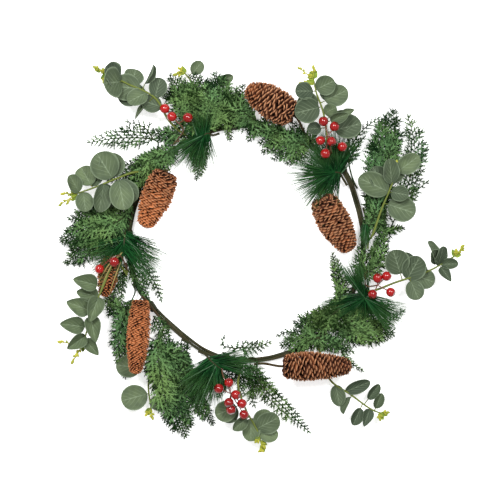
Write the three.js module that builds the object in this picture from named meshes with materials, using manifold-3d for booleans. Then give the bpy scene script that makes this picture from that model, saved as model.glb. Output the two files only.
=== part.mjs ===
// Mixed eucalyptus and evergreen wreath, lying on its back with its face up.
//
// A ring of taped stems carries sprays that are bound to it one by one: cedar, long-needled pine,
// eucalyptus, red berries and cones. Every spray has a foot that lies along the ring, 0.3 mm clear of
// it, and from there its stem rises and spreads. The stiff pieces are made first and the cedar last: each
// leaf, needle or branchlet that would cross a spray made before it is bent clear of it or cut short.
//
// Millimetres, +Z up. The wreath's face looks along +Z, and its top in front view points along +Y.

import * as THREE from 'three';
import { mergeVertices } from 'three/addons/utils/BufferGeometryUtils.js';
import Module from 'manifold-3d';

const wasm = await Module();
wasm.setup();

// Driving dimensions

const GRID = 1.45; // mm in one unit of the front view that the layout below is written in
const CENTRE = [246, 243]; // middle of the ring in that front view, x to the right and y down
const RING_RADIUS = 171; // middle of the stem bundle, a 340 mm ring on a 600 mm wreath
const RING_BENDS = [[228, 34, -9], [37, 20, 6]]; // direction and half its spread in degrees, and how far out
const STRAND_RADIUS = 2.7;
const STRAND_SPREAD = 3; // each strand's distance from the middle of the bundle
const STRAND_HEIGHT = 7; // strands' middle above the surface that the wreath lies on
const STRAND_STEPS = 36;
const STRAND_SIDES = 6;

const WRAP_LENGTH = 15;
const WRAP_HALF_WIDTH = 7;
const REST_WRAPS = [96, 214, 331]; // directions of the three bindings that reach the surface, degrees
const HIGH_WRAPS = [38, 133, 176, 268];
const HIGH_WRAP_DROP = 1.6; // how much smaller the other bindings are

const JOIN_TOLERANCES = [0.1, 0.07, 0.04, 0.13, 0.02]; // slivers this fine, left by a join, are merged away
const CLEAR = 0.35; // air between one spray and the next
const FOOT_LENGTH = 11; // stretch of a spray's stem that lies along the ring
const LOWEST = 1.6; // nothing but the bindings comes lower than this

const CEDAR_THICKNESS = 1.2;
const CEDAR_RIB = 1.4; // half the width of the rib that the branchlets stand on
const CEDAR_LEAN = 0.8; // how far forward a branchlet leans for each step out from the rib
const CEDAR_STEM = 1.5;

const LEAF_THICKNESS = 0.9;
const EUCALYPTUS_STEM = 1.3;
const BUD_RADIUS = 2.3;

const NEEDLE_RADIUS = 0.85;
const PINE_STEM = 1.7;
const OWN_ROOM = 6; // needles of one tuft may cross this close to their roots

const BERRY_RADIUS = 7;
const BERRY_STEM = 1.0;

// Frame

function at(x, y, z) {
  return new THREE.Vector3((x - CENTRE[0]) * GRID, (CENTRE[1] - y) * GRID, z);
}

let seed = 20;
function draw(low, high) {
  seed = (seed * 1664525 + 1013904223) % 4294967296;
  return low + (high - low) * (seed / 4294967296);
}

// Solids

function solidOf(geometry) {
  const bare = geometry.clone();
  bare.deleteAttribute('normal');
  bare.deleteAttribute('uv');
  const merged = mergeVertices(bare, 1e-4);
  const index = merged.index.array;
  const kept = [];
  for (let i = 0; i < index.length; i += 3) {
    const [a, b, c] = [index[i], index[i + 1], index[i + 2]];
    if (a !== b && b !== c && c !== a) kept.push(a, b, c);
  }
  const mesh = new wasm.Mesh({
    numProp: 3,
    vertProperties: Float32Array.from(merged.attributes.position.array),
    triVerts: Uint32Array.from(kept),
  });
  return new wasm.Manifold(mesh);
}

// Whether every edge of a body is shared by two faces and no more
function closes(body) {
  const { vertProperties, triVerts } = body.getMesh();
  const placeOf = (v) => [0, 1, 2].map((k) => vertProperties[3 * v + k].toFixed(3)).join();
  const uses = new Map();
  triVerts.forEach((vertex, i) => {
    const next = i % 3 === 2 ? triVerts[i - 2] : triVerts[i + 1];
    const edge = [placeOf(vertex), placeOf(next)].sort().join('|');
    uses.set(edge, (uses.get(edge) ?? 0) + 1);
  });
  return [...uses.values()].every((count) => count === 2);
}

// One body out of several shapes, with no loose scrap and no sealed hollow left by the joins
function fuse(solids) {
  let whole = solids[0];
  for (const next of solids.slice(1)) whole = whole.add(next);
  let fused;
  for (const tolerance of JOIN_TOLERANCES) {
    const bodies = whole.asOriginal().simplify(tolerance).decompose();
    fused = bodies.reduce((largest, body) => (body.volume() > largest.volume() ? body : largest));
    if (closes(fused)) break;
  }
  return fused;
}

const finished = []; // the solids of the nodes made so far

function boxesMeet(a, b) {
  return [0, 1, 2].every((k) => a.min[k] < b.max[k] && b.min[k] < a.max[k]);
}

function isClear(probeGeometry, others = []) {
  const probe = solidOf(probeGeometry);
  const box = probe.boundingBox();
  let clear = box.min[2] > LOWEST - CLEAR;
  for (const other of [...finished, ...others]) {
    if (!clear) break;
    if (!boxesMeet(box, other.boundingBox())) continue;
    const common = probe.intersect(other);
    clear = common.isEmpty();
    common.delete();
  }
  probe.delete();
  return clear;
}

// A sheet of triangles given its thickness, with both faces split alike; it thins to a point at sharp points
function thicken(points, normals, triangles, thickness, sharp = []) {
  const count = points.length;
  const position = [];
  for (const side of [0.5, -0.5]) {
    points.forEach((p, i) => {
      const q = p.clone().addScaledVector(normals[i], sharp.includes(i) ? 0 : side * thickness);
      position.push(q.x, q.y, q.z);
    });
  }
  const index = [];
  const edges = new Set(triangles.flatMap(([a, b, c]) => [`${a}_${b}`, `${b}_${c}`, `${c}_${a}`]));
  for (const [a, b, c] of triangles) {
    index.push(a, b, c, a + count, c + count, b + count);
    for (const [u, v] of [[a, b], [b, c], [c, a]]) {
      if (!edges.has(`${v}_${u}`)) index.push(u, u + count, v, v, u + count, v + count);
    }
  }
  const geometry = new THREE.BufferGeometry();
  geometry.setAttribute('position', new THREE.Float32BufferAttribute(position, 3));
  geometry.setIndex(index);
  return geometry;
}

// A round stem that follows a curve and tapers from one radius to another
function stemShape(curve, startRadius, endRadius, sides, steps) {
  const geometry = new THREE.CylinderGeometry(1, 1, 1, sides, steps);
  const frames = curve.computeFrenetFrames(steps);
  const position = geometry.attributes.position;
  for (let i = 0; i < position.count; i += 1) {
    const step = Math.round((0.5 - position.getY(i)) * steps);
    const radius = THREE.MathUtils.lerp(startRadius, endRadius, step / steps);
    const point = curve.getPointAt(step / steps);
    point.addScaledVector(frames.normals[step], position.getX(i) * radius);
    point.addScaledVector(frames.binormals[step], position.getZ(i) * radius);
    position.setXYZ(i, point.x, point.y, point.z);
  }
  return geometry;
}

// Part of a curve, as a curve of its own
class Stretch extends THREE.Curve {
  constructor(whole, from, to) {
    super();
    this.whole = whole;
    this.from = from;
    this.to = to;
  }

  getPoint(t, target = new THREE.Vector3()) {
    return target.copy(this.whole.getPointAt(THREE.MathUtils.lerp(this.from, this.to, t)));
  }
}

// The side and upward directions of something flat that follows a curve
function frameAt(curve, t, roll) {
  const tangent = curve.getTangentAt(t);
  const side = new THREE.Vector3().crossVectors(tangent, new THREE.Vector3(0, 0, 1)).normalize();
  side.applyAxisAngle(tangent, roll);
  const normal = new THREE.Vector3().crossVectors(side, tangent);
  return { tangent, side, normal };
}

// Ring

// The hand-bound ring isn't quite round
function ringRadius(angle) {
  return RING_BENDS.reduce((radius, [degrees, spread, out]) => {
    const turn = THREE.MathUtils.euclideanModulo(THREE.MathUtils.radToDeg(angle) - degrees + 180, 360) - 180;
    return Math.abs(turn) < spread ? radius + out * Math.cos((Math.PI / 2) * (turn / spread)) ** 2 : radius;
  }, RING_RADIUS);
}

function strandCentre(angle, strand) {
  const wave = strand > 0 ? 0.3 * Math.sin(5 * angle) : 0.3 * Math.sin(4 * angle + 1);
  const radius = ringRadius(angle) + strand * STRAND_SPREAD + wave;
  const height = STRAND_HEIGHT + 0.5 * Math.sin(3 * angle + strand);
  return new THREE.Vector3(radius * Math.cos(angle), radius * Math.sin(angle), height);
}

function strandShape(strand) {
  const geometry = new THREE.TorusGeometry(RING_RADIUS, STRAND_RADIUS, STRAND_SIDES, STRAND_STEPS);
  const position = geometry.attributes.position;
  for (let i = 0; i < position.count; i += 1) {
    const point = new THREE.Vector3().fromBufferAttribute(position, i);
    const angle = Math.atan2(point.y, point.x);
    const onAxis = new THREE.Vector3(RING_RADIUS * Math.cos(angle), RING_RADIUS * Math.sin(angle), 0);
    point.sub(onAxis).add(strandCentre(angle, strand));
    position.setXYZ(i, point.x, point.y, point.z);
  }
  return geometry;
}

function wrapShape(degrees, drop) {
  const facet = Math.cos(Math.PI / 8);
  const geometry = new THREE.CylinderGeometry(1 / facet, 1 / facet, WRAP_LENGTH, 8);
  geometry.rotateY(Math.PI / 8);
  geometry.scale(WRAP_HALF_WIDTH, 1, STRAND_HEIGHT - drop);
  geometry.translate(ringRadius(THREE.MathUtils.degToRad(degrees)), 0, STRAND_HEIGHT);
  geometry.rotateZ(THREE.MathUtils.degToRad(degrees));
  return geometry;
}

function ringSolid() {
  const wraps = [
    ...REST_WRAPS.map((degrees) => wrapShape(degrees, 0)),
    ...HIGH_WRAPS.map((degrees) => wrapShape(degrees, HIGH_WRAP_DROP)),
  ];
  return fuse([strandShape(-1), strandShape(1), ...wraps].map(solidOf));
}

// A place for a stem of some radius on one flat side of a strand, at an angle round the strand
function seatPoint(angle, strand, lean, radius) {
  const step = (2 * Math.PI) / STRAND_STEPS;
  const first = Math.floor(angle / step) * step;
  const centre = strandCentre(first, strand).lerp(strandCentre(first + step, strand), (angle - first) / step);
  const side = (2 * Math.PI) / STRAND_SIDES;
  const offSide = lean - side * Math.round(lean / side);
  const reach = (STRAND_RADIUS * Math.cos(side / 2) + CLEAR + 0.1 + radius) / Math.cos(offSide);
  const outward = new THREE.Vector3(Math.cos(angle), Math.sin(angle), 0);
  centre.addScaledVector(outward, strand * Math.sin(lean) * reach);
  centre.z += Math.cos(lean) * reach;
  return centre;
}

const SHIFTS = [0, 2, -2, 4, -4, 6, -6, 8, -8, 11, -11, 14, -14, 18, -18];
const LIFTS = [0, 3, -3, 6, -6, 9, -9, 12, 15, 18, 22, 26];
// How far over to its side a foot leans on the strand, and -1 for the far strand
const FOOT_PLACES = [[0.9, 1], [0.2, 1], [0.5, 1], [1.3, 1], [0, -1], [0.5, -1], [1, -1]];

// The curve of a spray's main stem: a foot along the ring, then through points of the layout
function stemCurve(seat, route, radius, { shift = 0, lift = 0, lean = 0.35, crossing = 1 } = {}) {
  const base = at(seat[0], seat[1], 0);
  const angle = Math.atan2(base.y, base.x) + (shift * GRID) / RING_RADIUS;
  const strand = (Math.hypot(route[0].x, route[0].y) < RING_RADIUS ? -1 : 1) * crossing;
  const along = new THREE.Vector3(-Math.sin(angle), Math.cos(angle), 0);
  const sense = Math.sign(along.dot(route[0].clone().sub(strandCentre(angle, strand)))) || 1;
  const half = (sense * FOOT_LENGTH) / 2 / RING_RADIUS;
  const foot = [angle - half, angle + half].map((a) => seatPoint(a, strand, lean, radius));
  const rest = route.map((p) => new THREE.Vector3(p.x, p.y, Math.max(p.z + lift, LOWEST + radius + CLEAR)));
  return new THREE.CatmullRomCurve3([...foot, ...rest], false, 'centripetal');
}

function findStem(name, seat, route, radius, steps, lifts = LIFTS) {
  for (const [lean, crossing] of FOOT_PLACES) {
    for (const lift of lifts) {
      for (const shift of SHIFTS) {
        const curve = stemCurve(seat, route, radius, { shift, lift, lean, crossing });
        if (isClear(stemShape(curve, radius + CLEAR, radius + CLEAR, 6, steps))) return curve;
      }
    }
  }
  throw new Error(`no clear way for ${name}`);
}

// A side stem that leaves another stem part of the way along it
function findFork(name, parent, share, points, radius) {
  for (const slide of [0, 0.05, -0.05, 0.1]) {
    for (const lift of LIFTS) {
      const rest = points.map((p) => at(p[0], p[1], Math.max(p[2] + lift, LOWEST + radius + CLEAR)));
      const start = parent.getPointAt(share + slide);
      const curve = new THREE.CatmullRomCurve3([start, ...rest], false, 'centripetal');
      if (isClear(stemShape(curve, radius + 0.28, radius + 0.28, 6, 12))) return curve;
    }
  }
  throw new Error(`no clear way for a fork of ${name}`);
}

// Cones

const CONE_ROWS = 6;
const CONE_SCALES = 6;
const CONE_STALK_RADIUS = 1.9;

function coneShape(length, radius) {
  const outline = (s) => radius * Math.sin(Math.PI * (0.2 + 0.72 * Math.min(s, 1))) ** 0.7;
  const profile = [new THREE.Vector2(0, length)];
  for (let row = CONE_ROWS - 1; row >= 0; row -= 1) {
    const s = 0.02 + (0.93 * row) / CONE_ROWS;
    profile.push(new THREE.Vector2(outline(s + 0.06), length * (s + 0.8 / CONE_ROWS)));
    profile.push(new THREE.Vector2(0.76 * outline(s), length * s));
  }
  profile.push(new THREE.Vector2(0, 0));
  const geometry = new THREE.LatheGeometry(profile.reverse(), 2 * CONE_SCALES);
  const position = geometry.attributes.position;
  for (let i = 0; i < position.count; i += 1) {
    const place = i % profile.length;
    const turn = Math.floor(i / profile.length);
    const isLip = place > 0 && place < profile.length - 1 && place % 2 === 0;
    if (isLip && (turn + place / 2) % 2 === 1) {
      position.setX(i, position.getX(i) * 0.84);
      position.setZ(i, position.getZ(i) * 0.84);
      position.setY(i, position.getY(i) - (0.3 * length) / CONE_ROWS);
    }
  }
  return geometry;
}

function coneSolid({ name, seat, base, tip, width }) {
  const start = at(...base);
  const end = at(...tip);
  const axis = end.clone().sub(start).normalize();
  const geometry = coneShape(start.distanceTo(end), (width * GRID) / 2);
  geometry.applyQuaternion(new THREE.Quaternion().setFromUnitVectors(new THREE.Vector3(0, 1, 0), axis));
  geometry.translate(start.x, start.y, start.z);
  const route = [start.clone().addScaledVector(axis, -7), start.clone().addScaledVector(axis, 5)];
  const curve = findStem(name, seat, route, CONE_STALK_RADIUS, 6, [0]);
  return fuse([solidOf(geometry), solidOf(stemShape(curve, CONE_STALK_RADIUS, CONE_STALK_RADIUS, 5, 6))]);
}

// Cedar

const BRANCHLET_TRIES = [
  [1, 0], [1, 4], [1, -4], [0.8, 0], [0.8, 6], [0.6, 0], [0.6, 5], [0.6, -5], [0.4, 0], [0.4, 4], [0.25, 0],
]; // share of the branchlet's reach, and how far it is bent up

function frondProfile(s) {
  return Math.max(0.2, Math.sin(Math.PI * Math.min(1, 0.26 + 0.74 * s)) ** 0.6);
}

// A branchlet's tip, bent up, down or cut short until the branchlet is clear of the sprays before it
function branchletTip(root, from, to, frame, hand, reach) {
  const aim = frame.side.clone().multiplyScalar(hand).addScaledVector(frame.tangent, CEDAR_LEAN * draw(0.85, 1.15));
  const droop = draw(-2, 1.5);
  const normals = [frame.normal, frame.normal, frame.normal];
  for (const [share, lift] of BRANCHLET_TRIES) {
    const tip = root.clone().addScaledVector(aim, reach * share).addScaledVector(frame.normal, droop * share + lift);
    const beyond = tip.clone().addScaledVector(aim, 0.6);
    const before = from.clone().addScaledVector(frame.tangent, -0.8);
    const after = to.clone().addScaledVector(frame.tangent, 0.8);
    const order = hand < 0 ? [[0, 2, 1]] : [[0, 1, 2]];
    const probe = thicken([before, beyond, after], normals, order, CEDAR_THICKNESS + 2 * CLEAR);
    if (isClear(probe)) return tip;
  }
  return root.clone().addScaledVector(frame.side, hand * (CEDAR_RIB + 0.2));
}

// A flat frond along a curve: a thin arched blade whose outline is cut to the rib between branchlets
function frondShape(curve, halfWidth, pairs, roll) {
  const station = (k) => (k + 0.35) / (pairs + 0.7);
  const points = [];
  const normals = [];
  const triangles = [];
  const sharp = [];
  for (let k = 0; k <= pairs; k += 1) {
    const { side, normal } = frameAt(curve, station(k), roll);
    const rib = THREE.MathUtils.lerp(CEDAR_RIB, 0.6, station(k));
    points.push(curve.getPointAt(station(k)).addScaledVector(side, -rib));
    points.push(curve.getPointAt(station(k)).addScaledVector(side, rib));
    normals.push(normal, normal);
  }
  for (let k = 0; k < pairs; k += 1) {
    const [left, right, nextLeft, nextRight] = [2 * k, 2 * k + 1, 2 * k + 2, 2 * k + 3];
    triangles.push([left, right, nextRight], [left, nextRight, nextLeft]);
    const middle = station(k + 0.5);
    const root = curve.getPointAt(middle);
    const frame = frameAt(curve, middle, roll);
    for (const hand of [-1, 1]) {
      const near = hand < 0 ? left : right;
      const far = hand < 0 ? nextLeft : nextRight;
      const reach = halfWidth * GRID * frondProfile(middle) * draw(0.85, 1.12);
      const last = points.length;
      points.push(branchletTip(root, points[near], points[far], frame, hand, reach));
      normals.push(frame.normal);
      sharp.push(last);
      triangles.push(hand < 0 ? [near, far, last] : [near, last, far]);
    }
  }
  const last = points.length;
  points.push(curve.getPointAt(1), curve.getPointAt(0));
  normals.push(frameAt(curve, 1, roll).normal, frameAt(curve, 0, roll).normal);
  sharp.push(last, last + 1);
  triangles.push([2 * pairs, 2 * pairs + 1, last], [last + 1, 1, 0]);
  return thicken(points, normals, triangles, CEDAR_THICKNESS, sharp);
}

function cedarSolid({ name, seat, fronds }) {
  const [main, ...forks] = fronds;
  const whole = findStem(name, seat, main.path.map((p) => at(...p)), CEDAR_STEM, 14);
  const bare = 0.3;
  const solids = [
    solidOf(stemShape(new Stretch(whole, 0, bare + 0.06), CEDAR_STEM, 1.2, 4, 4)),
    solidOf(frondShape(new Stretch(whole, bare, 1), main.width, main.pairs, draw(-0.2, 0.2))),
  ];
  forks.forEach((frond, i) => {
    const curve = findFork(name, whole, frond.from ?? bare + 0.05 * i, frond.path, CEDAR_STEM);
    solids.push(solidOf(frondShape(curve, frond.width, frond.pairs, draw(-0.25, 0.25))));
  });
  return fuse(solids);
}

// Eucalyptus

const ROUND_LEAF = [[0.18, 0.75], [0.5, 1], [0.83, 0.74]];
const SMALL_LENGTH = 21; // leaves shorter than this, in grid units, have a plainer outline
const SMALL_LEAF = [[0.28, 0.86], [0.7, 0.9]];
const POINTED_LEAF = [[0.32, 1], [0.68, 0.62]];
const RISES = [0, 4, -4, 8, 12, -8, 16, 20, 24];
const ROLLS = [0, 0.4, -0.4, 0.8, -0.8];

// A cupped leaf from its root through its middle; grown by a margin and cut short at its root as a probe
function leafShape(root, centre, { length, width, outline }, roll, margin = 0) {
  const axis = centre.clone().sub(root).normalize();
  const stalk = Math.max(0, root.distanceTo(centre) - length / 2);
  const blade = root.distanceTo(centre) + length / 2 - stalk;
  const side = new THREE.Vector3().crossVectors(axis, new THREE.Vector3(0, 0, 1)).normalize();
  side.applyAxisAngle(axis, roll);
  const normal = new THREE.Vector3().crossVectors(side, axis);
  const rows = outline.map(([s, w]) => [stalk + s * blade, (w * width) / 2 + margin]);
  if (stalk > 3 && !margin) rows.unshift([stalk, 0.9]);
  const start = margin ? rows[0][0] * 0.7 + stalk * 0.3 : 0;
  const points = [root.clone().addScaledVector(axis, start)];
  const triangles = [];
  for (const [reach, half] of rows) {
    const cup = 0.12 * half;
    const middle = root.clone().addScaledVector(axis, reach);
    for (const hand of [-1, 0, 1]) {
      const p = middle.clone().addScaledVector(side, hand * half);
      points.push(p.addScaledVector(normal, hand ? cup : 0));
    }
  }
  const tip = root.clone().addScaledVector(axis, stalk + blade + margin);
  points.push(tip.addScaledVector(normal, -0.04 * blade));
  triangles.push([0, 2, 1], [0, 3, 2]);
  for (let row = 1; row < rows.length; row += 1) {
    const a = 3 * row - 2;
    triangles.push([a, a + 1, a + 4], [a, a + 4, a + 3], [a + 1, a + 2, a + 5], [a + 1, a + 5, a + 4]);
  }
  const end = points.length - 1;
  triangles.push([end - 3, end - 2, end], [end - 2, end - 1, end]);
  return thicken(points, points.map(() => normal), triangles, LEAF_THICKNESS + 2 * margin, margin ? [] : [0, end]);
}

// The point of a stem that a leaf with a given middle and length would grow from
function leafRoot(curve, centre, reach) {
  let best = null;
  for (let t = 0.2; t <= 0.985; t += 0.015) {
    const point = curve.getPointAt(t);
    const miss = Math.abs(Math.hypot(point.x - centre.x, point.y - centre.y) - reach);
    if (!best || miss < best.miss - 0.4) best = { point, miss };
  }
  return best.point;
}

function findLeaf(curve, leaf, others) {
  const [x, y, length, width, rise = 4, roll = 0] = leaf.place;
  const size = { length: length * GRID, width: width * GRID, outline: leaf.outline };
  const level = Math.sqrt(Math.max(16, (size.length / 2) ** 2 - rise ** 2));
  const root = leafRoot(curve, at(x, y, 0), level);
  for (const scale of [1, 0.85, 0.7]) {
    for (const turn of ROLLS) {
      for (const more of RISES) {
        const centre = at(x, y, Math.max(root.z + rise + more, LOWEST + 3));
        const tried = { ...size, length: size.length * scale, width: size.width * scale };
        const angle = THREE.MathUtils.degToRad(roll) + turn;
        if (isClear(leafShape(root, centre, tried, angle, CLEAR), others)) {
          others.push(solidOf(leafShape(root, centre, tried, angle, CLEAR)));
          return solidOf(leafShape(root, centre, tried, angle));
        }
      }
    }
  }
  return null;
}

// A bud on its twig, from its root in the stem to its tip
function budShape(root, tip, radius) {
  const geometry = new THREE.OctahedronGeometry(1);
  const way = tip.clone().sub(root);
  geometry.scale(radius, way.length() / 2, radius);
  geometry.translate(0, way.length() / 2, 0);
  geometry.applyQuaternion(new THREE.Quaternion().setFromUnitVectors(new THREE.Vector3(0, 1, 0), way.normalize()));
  geometry.translate(root.x, root.y, root.z);
  return geometry;
}

function eucalyptusSolid({ name, seat, stem, leaves, buds, outline }) {
  const curve = findStem(name, seat, stem.map((p) => at(...p)), EUCALYPTUS_STEM, 8);
  const solids = [solidOf(stemShape(curve, EUCALYPTUS_STEM, 0.8, 4, 8))];
  const others = [];
  for (const place of leaves) {
    const isSmall = place[2] < SMALL_LENGTH;
    const leaf = findLeaf(curve, { place, outline: outline ?? (isSmall ? SMALL_LEAF : ROUND_LEAF) }, others);
    if (leaf) solids.push(leaf);
  }
  for (const [x, y] of buds) {
    const root = leafRoot(curve, at(x, y, 0), 6);
    const tip = at(x, y, root.z + 1);
    if (isClear(budShape(root, tip, BUD_RADIUS + CLEAR), others)) solids.push(solidOf(budShape(root, tip, BUD_RADIUS)));
  }
  return fuse(solids);
}

// Pine

const NEEDLE_TRIES = [[1, 0], [1, 0.25], [1, 0.5], [0.85, 0.1], [0.85, 0.35], [0.7, 0.2], [0.55, 0.3], [0.45, 0.6]];

function needleShape(root, heading, pitch, length, start, margin = 0) {
  const level = Math.cos(pitch);
  const ahead = new THREE.Vector3(Math.cos(heading) * level, Math.sin(heading) * level, Math.sin(pitch));
  const end = root.clone().addScaledVector(ahead, length + margin);
  end.z = Math.max(end.z, LOWEST + 1);
  const line = new THREE.LineCurve3(root.clone().addScaledVector(ahead, start), end);
  return stemShape(line, NEEDLE_RADIUS + margin, margin, 3, 1);
}

function pineSolid({ name, seat, heart, fans, count }) {
  const curve = findStem(name, seat, heart.map((p) => at(...p)), PINE_STEM, 5);
  const solids = [solidOf(stemShape(curve, PINE_STEM, 1.1, 5, 5))];
  const others = [];
  for (let i = 0; i < count; i += 1) {
    const fan = fans[i % fans.length];
    const root = curve.getPointAt(0.45 + (0.53 * (i + draw(0, 0.5))) / count);
    const heading = THREE.MathUtils.degToRad(draw(fan.from, fan.to));
    const pitch = draw(-0.2, 0.55);
    const length = draw(fan.short, fan.long) * GRID;
    for (const [share, lift] of NEEDLE_TRIES) {
      const way = [root, heading, pitch + lift, length * share];
      if (isClear(needleShape(...way, 4, CLEAR)) && isClear(needleShape(...way, OWN_ROOM), others)) {
        others.push(solidOf(needleShape(...way, OWN_ROOM)));
        solids.push(solidOf(needleShape(...way, 0)));
        break;
      }
    }
  }
  return fuse(solids);
}

// Berries

function berryShape(point, radius) {
  const geometry = new THREE.SphereGeometry(radius, 6, 4);
  geometry.rotateX(Math.PI / 2);
  geometry.translate(point.x, point.y, point.z);
  return geometry;
}

function berrySolid({ name, seat, hub, berries }) {
  const curve = findStem(name, seat, hub.map((p) => at(...p)), BERRY_STEM + 0.3, 6);
  const fork = curve.getPointAt(1);
  const solids = [solidOf(stemShape(curve, BERRY_STEM + 0.3, BERRY_STEM, 4, 6))];
  for (const [x, y, z] of berries) {
    for (const lift of [0, 4, 8, -4, 12, 16, 20, 25, 30]) {
      const point = at(x, y, z + lift);
      const middle = fork.clone().lerp(point, 0.5);
      middle.z = Math.max(fork.z, point.z) + 1;
      const twig = new THREE.QuadraticBezierCurve3(fork, middle, point);
      const isFree = isClear(berryShape(point, BERRY_RADIUS + CLEAR));
      if (isFree && isClear(stemShape(twig, BERRY_STEM + CLEAR, BERRY_STEM + CLEAR, 4, 3))) {
        solids.push(solidOf(berryShape(point, BERRY_RADIUS)), solidOf(stemShape(twig, BERRY_STEM, 0.8, 3, 2)));
        break;
      }
    }
  }
  return fuse(solids);
}

// Layout, in units of the front view, with heights in millimetres

const CONES = [
  { name: 'cone_top', seat: [303, 139], base: [294, 115, 36], tip: [248, 88, 36], width: 33 },
  { name: 'cone_upper_left', seat: [160, 163], base: [165, 171, 32], tip: [146, 228, 28], width: 30 },
  { name: 'cone_right', seat: [340, 172], base: [322, 197, 32], tip: [349, 251, 26], width: 29 },
  { name: 'cone_lower_left', seat: [147, 307], base: [141, 303, 36], tip: [136, 373, 36], width: 23 },
  { name: 'cone_bottom', seat: [268, 359], base: [282, 366, 34], tip: [351, 366, 34], width: 29 },
  { name: 'cone_left', seat: [128, 245], base: [112, 257, 24], tip: [104, 295, 24], width: 21 },
];

const LOW_EUCALYPTUS = [
  {
    name: 'eucalyptus_lower_left', seat: [160, 323], stem: [[154, 350, 9], [148, 385, 10], [151, 411, 10]],
    leaves: [[134, 398, 26, 25, 2], [128, 367, 24, 22, 2], [157, 404, 16, 14, 2]],
    buds: [[152, 417], [147, 414]],
  },
  {
    name: 'eucalyptus_top', seat: [203, 133], stem: [[200, 112, 10], [196, 88, 12], [184, 72, 14]],
    leaves: [[197, 66, 15, 13, 2], [225, 79, 17, 10, 3]],
    buds: [[180, 69], [177, 74]],
  },
  {
    name: 'eucalyptus_bottom_right', seat: [318, 337],
    stem: [[320, 352, 7], [330, 380, 10], [351, 395, 14], [374, 411, 16], [388, 415, 16]],
    leaves: [
      [338, 396, 21, 15, 3], [358, 387, 26, 13, 4], [347, 406, 18, 9, 2, 50], [374, 392, 18, 10, 3],
      [379, 401, 16, 10, 3], [357, 417, 18, 12, 3], [367, 418, 18, 12, 4],
    ],
    buds: [[380, 417], [386, 413]],
  },
];

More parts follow.
